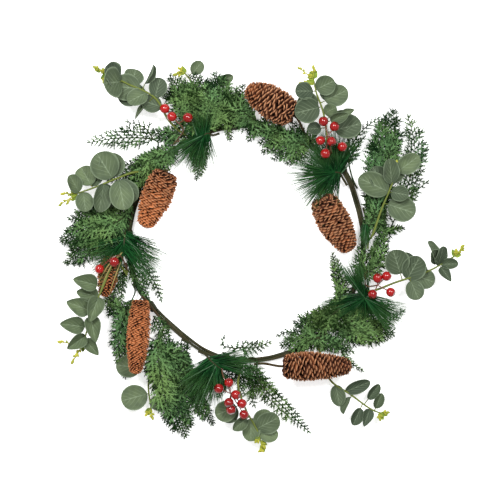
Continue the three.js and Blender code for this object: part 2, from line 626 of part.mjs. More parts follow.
const CEDAR = [
  {
    name: 'cedar_upper_left', seat: [171, 152],
    fronds: [
      { path: [[158, 142, 14], [122, 138, 14], [85, 143, 10]], width: 11, pairs: 7 },
      { path: [[145, 128, 16], [124, 121, 12]], width: 8, pairs: 4 },
    ],
  },
  {
    name: 'cedar_upper_left_b', seat: [190, 139],
    fronds: [{ path: [[182, 135, 14], [168, 135, 16], [148, 131, 12]], width: 12, pairs: 4 }],
  },
  {
    name: 'cedar_over_cone', seat: [177, 147],
    fronds: [
      { path: [[162, 158, 18], [142, 164, 15], [121, 164, 10]], width: 12, pairs: 5 },
      { path: [[152, 160, 12], [136, 180, 8], [124, 190, 6]], width: 10, pairs: 4 },
    ],
  },
  {
    name: 'cedar_inner_top_left', seat: [205, 132],
    fronds: [{ path: [[201, 146, 12], [199, 164, 10], [196, 182, 6]], width: 9, pairs: 4 }],
  },
  {
    name: 'cedar_top_a', seat: [200, 135],
    fronds: [
      { path: [[192, 116, 18], [178, 98, 22], [160, 92, 18]], width: 17, pairs: 5 },
      { path: [[182, 92, 20], [168, 73, 16]], width: 14, pairs: 4 },
    ],
  },
  {
    name: 'cedar_top_b', seat: [213, 130],
    fronds: [
      { path: [[208, 112, 20], [201, 92, 24], [192, 72, 18]], width: 18, pairs: 5 },
      { path: [[222, 118, 16], [229, 132, 10], [230, 143, 6]], width: 8, pairs: 3 },
    ],
  },
  {
    name: 'cedar_top_c', seat: [229, 127],
    fronds: [
      { path: [[224, 108, 20], [217, 88, 22], [213, 70, 16]], width: 17, pairs: 5 },
      { path: [[240, 102, 20], [243, 82, 18]], width: 14, pairs: 4 },
    ],
  },
  {
    name: 'cedar_top_d', seat: [262, 127],
    fronds: [
      { path: [[250, 118, 16], [234, 112, 26], [216, 112, 28]], width: 15, pairs: 4 },
      { path: [[254, 132, 12], [247, 143, 8]], width: 8, pairs: 3 },
    ],
  },
  {
    name: 'cedar_top_e', seat: [290, 134],
    fronds: [
      { path: [[275, 130, 14], [262, 128, 14], [243, 130, 14]], width: 13, pairs: 4 },
      { path: [[275, 142, 12], [260, 154, 8]], width: 10, pairs: 4 },
    ],
  },
  {
    name: 'cedar_top_f', seat: [318, 149],
    fronds: [
      { path: [[300, 142, 18], [280, 140, 18], [256, 143, 12]], width: 12, pairs: 4 },
      { path: [[292, 150, 14], [270, 160, 8]], width: 11, pairs: 4 },
      { path: [[300, 156, 12], [284, 164, 8]], width: 9, pairs: 4 },
    ],
  },
  {
    name: 'cedar_upper_right', seat: [343, 176],
    fronds: [
      { path: [[349, 156, 14], [359, 134, 14], [382, 115, 10]], width: 7, pairs: 6 },
      { path: [[356, 148, 12], [367, 134, 10]], width: 6, pairs: 3 },
      { path: [[352, 160, 10], [360, 152, 8]], width: 8, pairs: 3 },
    ],
  },
  {
    name: 'cedar_right_a', seat: [364, 252],
    fronds: [
      { path: [[374, 225, 12], [380, 180, 14], [394, 106, 10]], width: 16, pairs: 7 },
      { path: [[382, 230, 12], [407, 227, 8]], width: 10, pairs: 4 },
    ],
  },
  {
    name: 'cedar_right_b', seat: [361, 270],
    fronds: [
      { path: [[384, 240, 8], [407, 190, 8], [416, 150, 8], [408, 112, 6]], width: 12, pairs: 7 },
      { path: [[412, 170, 6], [428, 147, 5]], width: 9, pairs: 4, from: 0.6 },
      { path: [[414, 192, 6], [431, 179, 5]], width: 9, pairs: 4, from: 0.5 },
    ],
  },
  {
    name: 'cedar_right_c', seat: [363, 234],
    fronds: [{ path: [[371, 222, 18], [375, 200, 20], [373, 164, 14]], width: 9, pairs: 4 }],
  },
  {
    name: 'cedar_right_inner', seat: [355, 287],
    fronds: [
      { path: [[371, 270, 14], [380, 250, 14], [384, 222, 10]], width: 10, pairs: 4 },
      { path: [[362, 268, 20], [362, 240, 16]], width: 9, pairs: 4 },
    ],
  },
  {
    name: 'cedar_lower_right_a', seat: [347, 305],
    fronds: [{ path: [[342, 292, 16], [337, 272, 12], [332, 251, 8]], width: 8, pairs: 4 }],
  },
  {
    name: 'cedar_lower_right_e', seat: [344, 311],
    fronds: [{ path: [[358, 320, 12], [380, 326, 10], [407, 309, 8]], width: 9, pairs: 5 }],
  },
  {
    name: 'cedar_lower_right_b', seat: [341, 314],
    fronds: [
      { path: [[350, 324, 14], [368, 331, 14], [397, 333, 8]], width: 16, pairs: 5 },
      { path: [[346, 336, 10], [368, 344, 8]], width: 11, pairs: 4 },
    ],
  },
  {
    name: 'cedar_lower_right_c', seat: [350, 298],
    fronds: [
      { path: [[338, 310, 22], [320, 322, 22], [292, 324, 14]], width: 15, pairs: 5 },
      { path: [[342, 300, 16], [322, 312, 10]], width: 10, pairs: 4 },
    ],
  },
  {
    name: 'cedar_lower_right_d', seat: [325, 330],
    fronds: [
      { path: [[310, 338, 18], [296, 344, 16], [278, 346, 12]], width: 13, pairs: 4 },
      { path: [[318, 340, 12], [345, 346, 10]], width: 11, pairs: 4 },
    ],
  },
  {
    name: 'cedar_bottom', seat: [224, 359],
    fronds: [
      { path: [[238, 348, 14], [254, 348, 12], [273, 341, 8]], width: 10, pairs: 4 },
      { path: [[222, 345, 12], [225, 334, 8]], width: 3, pairs: 3 },
    ],
  },
  {
    name: 'cedar_bottom_right', seat: [250, 361],
    fronds: [
      { path: [[258, 380, 16], [282, 406, 14], [312, 435, 8]], width: 9, pairs: 8 },
      { path: [[262, 378, 14], [278, 396, 10]], width: 8, pairs: 4 },
      { path: [[250, 388, 12], [256, 410, 10]], width: 12, pairs: 4 },
    ],
  },
  {
    name: 'cedar_lower_left_a', seat: [153, 315],
    fronds: [
      { path: [[159, 340, 20], [166, 385, 20], [187, 440, 10]], width: 16, pairs: 7 },
      { path: [[178, 352, 14], [190, 380, 10]], width: 11, pairs: 4 },
    ],
  },
  {
    name: 'cedar_lower_left_b', seat: [185, 344],
    fronds: [
      { path: [[184, 362, 12], [195, 396, 10], [214, 428, 6]], width: 10, pairs: 6 },
      { path: [[172, 360, 16], [158, 372, 12]], width: 12, pairs: 4 },
    ],
  },
  {
    name: 'cedar_left_low', seat: [137, 288],
    fronds: [
      { path: [[130, 304, 14], [121, 335, 12], [125, 381, 6]], width: 10, pairs: 6 },
      { path: [[116, 308, 12], [103, 290, 8]], width: 11, pairs: 4 },
    ],
  },
  {
    name: 'cedar_left_inner', seat: [130, 265],
    fronds: [
      { path: [[142, 268, 12], [154, 282, 10], [162, 304, 6]], width: 9, pairs: 4 },
      { path: [[142, 280, 8], [149, 298, 6]], width: 8, pairs: 4 },
    ],
  },
  {
    name: 'cedar_left_a', seat: [129, 225],
    fronds: [
      { path: [[112, 226, 16], [88, 232, 16], [57, 243, 8]], width: 15, pairs: 6 },
      { path: [[98, 242, 12], [80, 254, 9], [62, 265, 6]], width: 13, pairs: 4 },
    ],
  },
  {
    name: 'cedar_left_b', seat: [133, 212],
    fronds: [
      { path: [[118, 212, 14], [96, 214, 14], [66, 220, 8]], width: 13, pairs: 5 },
    ],
  },
];

const PINE = [
  {
    name: 'pine_upper_left', seat: [214, 129], heart: [[207, 133, 20], [196, 142, 20]], count: 24,
    fans: [{ from: 195, to: 290, short: 20, long: 36 }, { from: 75, to: 150, short: 14, long: 24 }],
  },
  {
    name: 'pine_left', seat: [129, 233], heart: [[124, 242, 22], [123, 254, 24]], count: 28,
    fans: [{ from: 188, to: 245, short: 28, long: 44 }, { from: 295, to: 350, short: 30, long: 46 }],
  },
  {
    name: 'pine_upper_right', seat: [347, 181], heart: [[338, 172, 22], [326, 176, 24]], count: 25,
    fans: [{ from: 165, to: 265, short: 26, long: 44 }, { from: 88, to: 150, short: 16, long: 26 }],
  },
  {
    name: 'pine_right', seat: [352, 293], heart: [[364, 298, 24], [372, 303, 26]], count: 28,
    fans: [
      { from: 95, to: 135, short: 26, long: 40 },
      { from: 302, to: 355, short: 26, long: 42 },
      { from: 184, to: 215, short: 30, long: 52 },
    ],
  },
  {
    name: 'pine_bottom', seat: [203, 353], heart: [[211, 361, 24], [220, 368, 26]], count: 27,
    fans: [{ from: 205, to: 280, short: 26, long: 40 }, { from: -20, to: 18, short: 28, long: 44 }],
  },
  {
    name: 'pine_right_ring', seat: [361, 212], heart: [[366, 222, 20], [366, 229, 20]], count: 9,
    fans: [{ from: 245, to: 290, short: 12, long: 20 }],
  },
];

const EUCALYPTUS = [
  {
    name: 'eucalyptus_bottom', seat: [238, 361], stem: [[238, 385, 22], [246, 410, 24], [258, 432, 22], [262, 447, 20]],
    leaves: [
      [226, 411, 22, 21, 3], [251, 430, 22, 18, 3], [268, 423, 24, 22, 4], [269, 435, 18, 15, 6],
      [240, 424, 18, 12, 3],
    ],
    buds: [[263, 445], [261, 453], [257, 441]],
  },
  {
    name: 'eucalyptus_upper_left', seat: [184, 143],
    stem: [[170, 122, 30], [155, 98, 36], [127, 84, 40], [98, 70, 38]],
    leaves: [
      [127, 88, 27, 27, 4], [114, 84, 26, 30, 14], [152, 104, 20, 18, 4], [138, 98, 22, 18, 6, 20],
      [134, 77, 20, 20, -6], [158, 88, 20, 18, 2], [150, 75, 20, 8, 6, 50], [141, 112, 18, 7, 2, 50],
    ],
    buds: [[97, 69], [103, 72], [109, 71], [105, 81]],
  },
  {
    name: 'eucalyptus_left', seat: [146, 181],
    stem: [[136, 172, 26], [116, 179, 32], [94, 188, 34], [76, 194, 32]],
    leaves: [
      [105, 166, 28, 29, 5], [122, 195, 30, 24, 6], [102, 198, 28, 19, 3, -20], [85, 202, 20, 18, 5],
      [75, 184, 20, 16, 6, 20], [86, 176, 22, 21, -3],
    ],
    buds: [[65, 194], [69, 202], [62, 204]],
  },
  {
    name: 'eucalyptus_upper_right', seat: [326, 156],
    stem: [[327, 136, 26], [323, 112, 34], [316, 93, 40], [313, 78, 42]],
    leaves: [
      [307, 111, 26, 25, 5], [348, 127, 26, 24, 3], [336, 96, 24, 21, 3], [325, 86, 20, 20, 6],
      [304, 92, 19, 18, 4], [330, 111, 15, 14, 4], [339, 118, 20, 11, 12], [314, 129, 15, 13, 9], [348, 112, 12, 8, 2],
    ],
    buds: [[300, 70], [313, 70], [310, 77], [303, 84]],
  },
  {
    name: 'eucalyptus_right_upper', seat: [365, 245],
    stem: [[372, 236, 28], [381, 210, 34], [390, 188, 38], [396, 172, 36]],
    leaves: [
      [373, 185, 32, 24, 5], [401, 209, 28, 25, 5], [408, 164, 25, 19, 4], [390, 172, 26, 18, 8, 15],
      [399, 194, 18, 16, 3],
    ],
    buds: [[396, 165]],
  },
  {
    name: 'eucalyptus_lower_left_side', seat: [129, 258], outline: POINTED_LEAF,
    stem: [[116, 262, 34], [102, 290, 38], [92, 315, 36], [83, 346, 28]],
    leaves: [
      [86, 282, 24, 18, 4], [79, 306, 24, 20, 4], [95, 309, 26, 18, 6], [73, 325, 24, 18, 3],
      [94, 329, 26, 17, 5], [88, 294, 22, 17, 3], [77, 342, 22, 15, 3], [92, 347, 20, 13, 2],
    ],
    buds: [[78, 353], [74, 360], [62, 342]],
  },
  {
    name: 'eucalyptus_right', seat: [357, 280],
    stem: [[370, 291, 34], [396, 282, 36], [428, 271, 36], [456, 255, 34]],
    leaves: [
      [413, 268, 25, 24, 5], [396, 262, 25, 25, 10], [414, 290, 20, 18, 5], [425, 279, 19, 19, 4],
      [433, 252, 24, 15, 4, 50], [440, 256, 22, 14, 6, 30], [449, 264, 17, 11, 3], [445, 274, 18, 11, 3],
    ],
    buds: [[455, 252], [459, 251], [464, 248]],
  },
];

const BERRIES = [
  {
    name: 'berries_upper_left', seat: [190, 139], hub: [[184, 130, 32], [179, 124, 36]],
    berries: [[165, 109, 38], [172, 117, 38], [188, 118, 38]],
  },
  {
    name: 'berries_upper_right', seat: [333, 164], hub: [[331, 152, 38], [328, 136, 46]],
    berries: [[323, 122, 48], [334, 127, 46], [320, 141, 46], [331, 142, 48], [325, 154, 44], [342, 147, 38]],
  },
  {
    name: 'berries_left', seat: [128, 252], hub: [[120, 255, 38], [112, 258, 42]],
    berries: [[100, 269, 42], [115, 262, 44]],
  },
  {
    name: 'berries_right', seat: [355, 285], hub: [[366, 286, 40], [377, 285, 44]],
    berries: [[377, 278, 46], [386, 276, 46], [372, 294, 46], [390, 292, 46]],
  },
  {
    name: 'berries_bottom', seat: [216, 357], hub: [[223, 375, 38], [231, 393, 42]],
    berries: [
      [229, 382, 44], [219, 388, 42], [236, 394, 46], [229, 402, 46], [242, 403, 44], [231, 409, 42], [244, 414, 40],
    ],
  },
];

// Wreath

const MATERIALS = {
  ring: new THREE.MeshStandardMaterial({ color: 0x4b4b2d, roughness: 0.8, metalness: 0 }),
  cedar: new THREE.MeshStandardMaterial({ color: 0x567d48, roughness: 0.7, metalness: 0 }),
  pine: new THREE.MeshStandardMaterial({ color: 0x124d2e, roughness: 0.55, metalness: 0 }),
  eucalyptus: new THREE.MeshStandardMaterial({ color: 0x7d9a82, roughness: 0.65, metalness: 0 }),
  cone: new THREE.MeshStandardMaterial({ color: 0xa55f3c, roughness: 0.75, metalness: 0 }),
  berry: new THREE.MeshStandardMaterial({ color: 0xc8141e, roughness: 0.15, metalness: 0 }),
};

const group = new THREE.Group();

function addNode(name, solid, material) {
  finished.push(solid);
  const { vertProperties, triVerts } = solid.getMesh();
  const geometry = new THREE.BufferGeometry();
  geometry.setAttribute('position', new THREE.BufferAttribute(Float32Array.from(vertProperties), 3));
  geometry.setIndex(new THREE.BufferAttribute(Uint32Array.from(triVerts), 1));
  geometry.computeVertexNormals();
  const mesh = new THREE.Mesh(geometry, material);
  mesh.name = name;
  group.add(mesh);
}

addNode('ring', ringSolid(), MATERIALS.ring);
for (const cone of CONES) addNode(cone.name, coneSolid(cone), MATERIALS.cone);
for (const spray of LOW_EUCALYPTUS) addNode(spray.name, eucalyptusSolid(spray), MATERIALS.eucalyptus);
for (const bunch of BERRIES) addNode(bunch.name, berrySolid(bunch), MATERIALS.berry);
for (const spray of EUCALYPTUS) addNode(spray.name, eucalyptusSolid(spray), MATERIALS.eucalyptus);
for (const tuft of PINE) addNode(tuft.name, pineSolid(tuft), MATERIALS.pine);
for (const spray of CEDAR) addNode(spray.name, cedarSolid(spray), MATERIALS.cedar);

// The origin is at the bottom and middle of the wreath's box
const box = new THREE.Box3().setFromObject(group);
const middle = box.getCenter(new THREE.Vector3());
group.position.set(-middle.x, -middle.y, -box.min.z);

export default group;
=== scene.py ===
# %% [markdown]
# # A mixed eucalyptus wreath
# A door wreath of eucalyptus, cedar and long-needled pine, with red berries and cones, lies on its back.
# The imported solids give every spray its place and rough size. This lesson puts the fine foliage, bark,
# scales and gloss where those solids are, one kind of spray after another.

import math
import zlib

import bpy
import numpy as np
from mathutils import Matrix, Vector
from mathutils.bvhtree import BVHTree


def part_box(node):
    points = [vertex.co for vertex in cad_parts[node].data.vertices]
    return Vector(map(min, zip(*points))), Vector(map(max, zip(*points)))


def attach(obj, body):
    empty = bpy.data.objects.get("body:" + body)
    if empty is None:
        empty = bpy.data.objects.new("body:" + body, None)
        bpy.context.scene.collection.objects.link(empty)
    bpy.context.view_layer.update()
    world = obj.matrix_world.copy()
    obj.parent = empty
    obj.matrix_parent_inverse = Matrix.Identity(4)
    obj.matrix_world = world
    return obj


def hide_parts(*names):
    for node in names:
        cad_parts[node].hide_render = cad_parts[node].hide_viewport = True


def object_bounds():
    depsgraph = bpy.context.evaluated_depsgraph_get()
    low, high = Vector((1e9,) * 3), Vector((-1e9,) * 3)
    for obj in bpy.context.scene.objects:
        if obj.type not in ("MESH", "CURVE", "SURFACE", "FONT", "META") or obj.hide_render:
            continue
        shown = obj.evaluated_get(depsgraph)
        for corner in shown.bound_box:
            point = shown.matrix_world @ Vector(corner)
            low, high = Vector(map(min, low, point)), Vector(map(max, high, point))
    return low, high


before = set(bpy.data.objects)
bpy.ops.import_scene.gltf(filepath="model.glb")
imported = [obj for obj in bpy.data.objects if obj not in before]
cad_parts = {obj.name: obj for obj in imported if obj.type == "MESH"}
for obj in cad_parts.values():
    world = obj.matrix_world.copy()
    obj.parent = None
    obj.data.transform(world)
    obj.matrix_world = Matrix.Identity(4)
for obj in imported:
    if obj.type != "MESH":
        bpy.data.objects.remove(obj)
cad_low, cad_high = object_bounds()
print("solids:", len(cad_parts), "box in mm:", [round(1000 * v) for v in cad_high - cad_low])

# %% [markdown]
# The wreath was laid out in a front view whose unit is 1.45 mm, x to the right and y down, because that is
# how a florist reads a sketch. One function turns a place in that view into millimetres in the model, and
# the ring's own box says where the middle of the ring is. The hand-bound ring isn't quite round: it has one
# flatter stretch and one slight bulge. Meshes are worked out in millimetres and made in metres.

# %% From the front view to the model
MM = 0.001
GRID = 1.45
VIEW_MIDDLE = (246, 243)
RING_RADIUS = 171.0
RING_BENDS = ((228, 34, -9), (37, 20, 6))  # where and how wide in degrees, and how far out in mm
UP = (0, 0, 1.0)
ring_low, ring_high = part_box("ring")
ring_middle = (ring_low + ring_high) / 2 / MM


def at(x, y, z=0.0):
    across = (x - VIEW_MIDDLE[0]) * GRID + ring_middle.x
    up = (VIEW_MIDDLE[1] - y) * GRID + ring_middle.y
    return np.array([across, up, z])


def ring_radius(angle):
    radius = RING_RADIUS
    for degrees, spread, out in RING_BENDS:
        turn = (math.degrees(angle) - degrees + 180) % 360 - 180
        if abs(turn) < spread:
            radius += out * math.cos(math.pi / 2 * turn / spread) ** 2
    return radius


def seeded(name):
    return np.random.default_rng(zlib.crc32(name.encode()))


print("middle of the ring in mm:", [round(v, 1) for v in ring_middle])

# %% [markdown]
# The camera looks straight down, as the wreath is seen on a wall. A long lens from four metres up keeps the
# tall cones from leaning outwards, and the field is 500 units of the front view wide. Two large soft lamps
# give the berries their pair of highlights, and a bright even sky keeps the shadows pale.

# %% Camera, lamps and floor
FIELD = 500 * GRID
SENSOR_WIDTH = 36
CAMERA_HEIGHT = 4000
FOCUS_HEIGHT = 25
LAMPS = (("lamp_left", (-0.8, 0.9, 1.9), 0.6, 44), ("lamp_right", (0.75, 0.55, 1.9), 0.5, 28))
SKY_STRENGTH = 0.5
FLOOR_SIZE = 6
FLOOR_LEVEL = -0.0003


def linked(name, data):
    obj = bpy.data.objects.new(name, data)
    bpy.context.scene.collection.objects.link(obj)
    return obj


def start(add, **settings):
    """Adds a primitive with nothing else selected."""
    bpy.ops.object.select_all(action="DESELECT")
    add(**settings)
    return bpy.context.object


camera = linked("front_camera", bpy.data.cameras.new("front_camera"))
camera.data.sensor_width = SENSOR_WIDTH
camera.data.lens = SENSOR_WIDTH * (CAMERA_HEIGHT - FOCUS_HEIGHT) / FIELD
camera.data.clip_end = 20
camera.location = Vector(at(250, 250, CAMERA_HEIGHT)) * MM
bpy.context.scene.camera = camera
bpy.context.scene.view_settings.view_transform = "Standard"

for name, place, size, power in LAMPS:
    lamp = linked(name, bpy.data.lights.new(name, "AREA"))
    lamp.data.size = size
    lamp.data.energy = power
    lamp.location = place
    lamp.rotation_euler = (-Vector(place)).to_track_quat("-Z", "Y").to_euler()
sky = bpy.data.worlds.new("even_sky")
sky.use_nodes = True
sky_inputs = sky.node_tree.nodes["Background"].inputs
sky_inputs["Color"].default_value = (1, 1, 1, 1)
sky_inputs["Strength"].default_value = SKY_STRENGTH
bpy.context.scene.world = sky

floor = start(bpy.ops.mesh.primitive_plane_add, size=FLOOR_SIZE, location=(0, 0, FLOOR_LEVEL))
floor.name = "floor"
print("field in mm:", FIELD, "lens:", round(camera.data.lens))

# %% [markdown]
# A finish is a small program of shader nodes. To write it as one reads it, a Wire stands for a value that
# changes over the surface, and adding or multiplying wires adds the Math nodes. Everything else comes from
# one method, node, which takes a node's type, its settings and what goes into its sockets.

# %% Finishes written as expressions
def maths(operation, turned=False, clamp=False):
    """A method of Wire that adds one Math node. Turned, the wire is the second of the two values."""
    def method(self, other=0.0):
        first, second = (other, self) if turned else (self, other)
        settings = {"operation": operation, "use_clamp": clamp}
        return self.finish.node("ShaderNodeMath", settings, {0: first, 1: second})
    return method


class Wire:
    def __init__(self, finish, socket):
        self.finish = finish
        self.socket = socket

    __add__, __radd__ = maths("ADD"), maths("ADD", turned=True)
    __sub__, __rsub__ = maths("SUBTRACT"), maths("SUBTRACT", turned=True)
    __mul__, __rmul__ = maths("MULTIPLY"), maths("MULTIPLY", turned=True)
    above, clamped, sine = maths("GREATER_THAN"), maths("ADD", clamp=True), maths("SINE")

    def ramp(self, start, slope):
        """0 up to the start, and from there a rise to 1."""
        return ((self - start) * slope).clamped()

    def mix(self, first, second):
        """The first colour where this wire is 0 and the second where it is 1."""
        sockets = {"Factor_Float": self, "A_Color": first, "B_Color": second}
        return self.finish.node("ShaderNodeMix", {"data_type": "RGBA"}, sockets, "Result_Color")


def socket_of(sockets, key):
    return sockets[key] if isinstance(key, int) else next(s for s in sockets if key in (s.identifier, s.name))


class Finish:
    def __init__(self, name, **constants):
        self.material = bpy.data.materials.new(name)
        self.material.use_nodes = True
        self.tree = self.material.node_tree
        self.inputs = self.tree.nodes["Principled BSDF"].inputs
        for socket, value in constants.items():
            self.plug(self.inputs[socket.replace("_", " ")], value)

    def plug(self, socket, value):
        if isinstance(value, Wire):
            self.tree.links.new(value.socket, socket)
        else:
            socket.default_value = (*value, 1.0) if isinstance(value, tuple) else value

    def node(self, kind, settings=None, inputs=None, output=0):
        made = self.tree.nodes.new(kind)
        for name, value in (settings or {}).items():
            setattr(made, name, value)
        for key, value in (inputs or {}).items():
            self.plug(socket_of(made.inputs, key), value)
        return Wire(self, socket_of(made.outputs, output))

    def facts(self, *names):
        return [self.node("ShaderNodeAttribute", {"attribute_name": name}, output="Fac") for name in names]

    def noise(self, scale, detail):
        where = self.node("ShaderNodeTexCoord", output="Object")
        return self.node("ShaderNodeTexNoise", None, {"Vector": where, "Scale": scale, "Detail": detail}, "Fac")

    def look(self, colour, roughness):
        self.plug(self.inputs["Base Color"], colour)
        self.plug(self.inputs["Roughness"], roughness)

    def relief(self, height, distance, strength):
        sockets = {"Height": height, "Distance": distance, "Strength": strength}
        self.plug(self.inputs["Normal"], self.node("ShaderNodeBump", None, sockets))


floor_finish = Finish("pale_floor", Emission_Color=(1.0, 1.0, 1.0), Emission_Strength=0.55)
floor_finish.look(floor_finish.noise(3.0, 3.0).mix((0.93, 0.93, 0.93), (0.95, 0.95, 0.95)), 0.9)
floor.data.materials.append(floor_finish.material)
print("first finish:", floor_finish.material.name)

# %% [markdown]
# Foliage is thousands of small alike pieces. Each is modelled once, as by hand, then read into a Shape: its
# points, its faces, and two facts about every point, how far along the piece it lies and how far across.
# A Pile collects copies of shapes, each turned and sized by its own matrix, and becomes one mesh at the
# end. Every copy has its own points, so the whole spray is one real mesh. No point leaves the solids' box,
# whose underside is the surface that the wreath lies on.

# %% Shapes and piles
FACTS = ("part", "tone", "along", "across")
ALONG = FACTS.index("along")
SIDE_ROOM = 0.0003
BOX_LOW = np.array(cad_low) + (SIDE_ROOM, SIDE_ROOM, 0)
BOX_HIGH = np.array(cad_high) - SIDE_ROOM


class Shape:
    def __init__(self, points, loops, totals):
        self.points = points
        self.loops = loops
        self.totals = totals
        low, high = points.min(0), points.max(0)
        span = np.maximum(high - low, 1e-6)
        self.along = (points[:, 0] - low[0]) / span[0]
        self.across = 2 * np.abs(points[:, 1]) / span[1]


def as_shape(obj):
    """Reads the object's mesh and takes the object away."""
    mesh = obj.data
    points = np.empty(3 * len(mesh.vertices))
    loops = np.empty(len(mesh.loops), int)
    totals = np.empty(len(mesh.polygons), int)
    mesh.vertices.foreach_get("co", points)
    mesh.loops.foreach_get("vertex_index", loops)
    mesh.polygons.foreach_get("loop_total", totals)
    bpy.data.objects.remove(obj)
    bpy.data.meshes.remove(mesh)
    return Shape(points.reshape(-1, 3), loops, totals)


def unit(vectors):
    return vectors / np.maximum(np.linalg.norm(vectors, axis=-1, keepdims=True), 1e-9)


def frames(places, forward, up=UP, sizes=1):
    """Matrices that put a shape's X along forward and its Z near up, sized on each axis."""
    places, forward, up = (np.atleast_2d(np.asarray(v, float)) for v in (places, forward, up))
    sizes = np.broadcast_to(sizes, (len(places), 3))
    x = unit(forward)
    y = unit(np.cross(up, x))
    made = np.zeros((len(places), 4, 4))
    for column, axis in enumerate((x, y, np.cross(x, y))):
        made[:, :3, column] = axis * sizes[:, column, None]
    made[:, :3, 3] = places
    made[:, 3, 3] = 1
    return made


class Pile:
    inside = True

    def __init__(self):
        self.points, self.loops, self.totals, self.facts = [], [], [], []
        self.count = 0

    def add(self, shape, matrices, part=0.0, tones=0.5, along=None):
        """Copies of a shape, one for each 4 by 4 matrix, in millimetres."""
        matrices = np.asarray(matrices, float).reshape(-1, 4, 4)
        copies, size = len(matrices), len(shape.points)
        if not copies:
            return
        turns, places = matrices[:, :3, :3], matrices[:, None, :3, 3]
        if (np.linalg.det(turns) < 0).any():
            raise ValueError("a copy is turned inside out")
        placed = np.einsum("kij,nj->kni", turns, shape.points) + places
        if self.inside:
            low, high = placed.min(1), placed.max(1)
            inward = np.maximum(BOX_LOW / MM - low, 0) - np.maximum(high - BOX_HIGH / MM, 0)
            placed += inward[:, None]
        starts = self.count + size * np.arange(copies)
        self.points.append(placed.reshape(-1, 3))
        self.loops.append((shape.loops[None, :] + starts[:, None]).ravel())
        self.totals.append(np.tile(shape.totals, copies))
        tones = np.broadcast_to(tones, copies)[:, None]
        facts = np.broadcast_arrays(part, tones, shape.along if along is None else along, shape.across)
        self.facts.append(np.stack(facts, -1).reshape(-1, len(FACTS)))
        self.count += copies * size

    def make(self, name, finish, smooth_angle):
        mesh = bpy.data.meshes.new(name)
        points = np.clip(np.concatenate(self.points) * MM, BOX_LOW, BOX_HIGH)
        loops, totals = np.concatenate(self.loops), np.concatenate(self.totals)
        mesh.vertices.add(len(points))
        mesh.vertices.foreach_set("co", points.ravel())
        mesh.loops.add(len(loops))
        mesh.loops.foreach_set("vertex_index", loops)
        mesh.polygons.add(len(totals))
        mesh.polygons.foreach_set("loop_start", np.concatenate([[0], np.cumsum(totals)[:-1]]))
        mesh.update(calc_edges=True)
        for fact, values in zip(FACTS, np.concatenate(self.facts).T):
            mesh.attributes.new(fact, "FLOAT", "POINT").data.foreach_set("value", values.astype(np.float32))
        mesh.materials.append(finish.material)
        piece = linked(name, mesh)
        bpy.ops.object.select_all(action="DESELECT")
        piece.select_set(True)
        bpy.context.view_layer.objects.active = piece
        bpy.ops.object.shade_smooth_by_angle(angle=math.radians(smooth_angle))
        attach(piece, "root")
        return piece


def dress(table, build, ending, finish, smooth_angle):
    """Makes the fine piece of each spray in a table, in place of the solid of that name."""
    for node, row in table.items():
        pile = Pile()
        build(pile, seeded(node), node, *row)
        piece = pile.make(node + ending, finish, smooth_angle)
        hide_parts(node)
        print(piece.name, len(piece.data.polygons))


print("facts kept for each point:", FACTS)

# %% [markdown]
# A primitive is a good start for each small shape. These helpers pick points, edges or faces by a rule, run
# the next step in edit mode, and move every point to where a rule puts it.

# %% Modelling helpers
def pick(obj, rule, kind="VERT"):
    """Goes into edit mode with just the points, edges or faces selected that meet the rule.

    The rule is given a point's place, the way from one end of an edge to the other, or a face's middle."""
    bpy.ops.object.mode_set(mode="EDIT")
    bpy.ops.mesh.select_mode(type=kind)
    bpy.ops.mesh.select_all(action="DESELECT")
    bpy.ops.object.mode_set(mode="OBJECT")
    points = obj.data.vertices
    parts, measure = {
        "VERT": (points, lambda point: point.co),
        "EDGE": (obj.data.edges, lambda edge: points[edge.vertices[0]].co - points[edge.vertices[1]].co),
        "FACE": (obj.data.polygons, lambda face: face.center),
    }[kind]
    for part in parts:
        part.select = bool(rule(measure(part)))
    bpy.ops.object.mode_set(mode="EDIT")


def cut_rings(obj, cuts, axis=2):
    """Cuts the edges that run along an axis, from end to end of a primitive that is one unit long."""
    pick(obj, lambda way: abs(way[axis]) > 0.5, "EDGE")
    bpy.ops.mesh.subdivide(number_cuts=cuts)


def move(obj, rule):
    """Leaves edit mode and moves every point of the mesh to where the rule puts it."""
    bpy.ops.object.mode_set(mode="OBJECT")
    for vertex in obj.data.vertices:
        vertex.co = rule(vertex.co)
    return obj


# %% [markdown]
# Stems, twigs and tape strands are round rods that follow a curve. One rod is modelled as a cylinder whose
# upright edges are cut into rings, and each stem is a copy with its rings set along its own curve.

# %% Rods and curves
def rod_shape(sides, rings):
    obj = start(bpy.ops.mesh.primitive_cylinder_add, vertices=sides, radius=1, depth=1, end_fill_type="TRIFAN")
    cut_rings(obj, rings)
    return as_shape(move(obj, lambda p: Vector((p.z + 0.5, p.x, p.y))))


RODS = {"hair": rod_shape(3, 1), "twig": rod_shape(4, 3), "stalk": rod_shape(6, 8), "stem": rod_shape(8, 24)}
ROD_SIDEWAYS = (0.13, 0.21, 0.97)  # a direction that no rod runs in
CURVE_STEPS = 24
STEM_RADII = (1.9, 1.1)


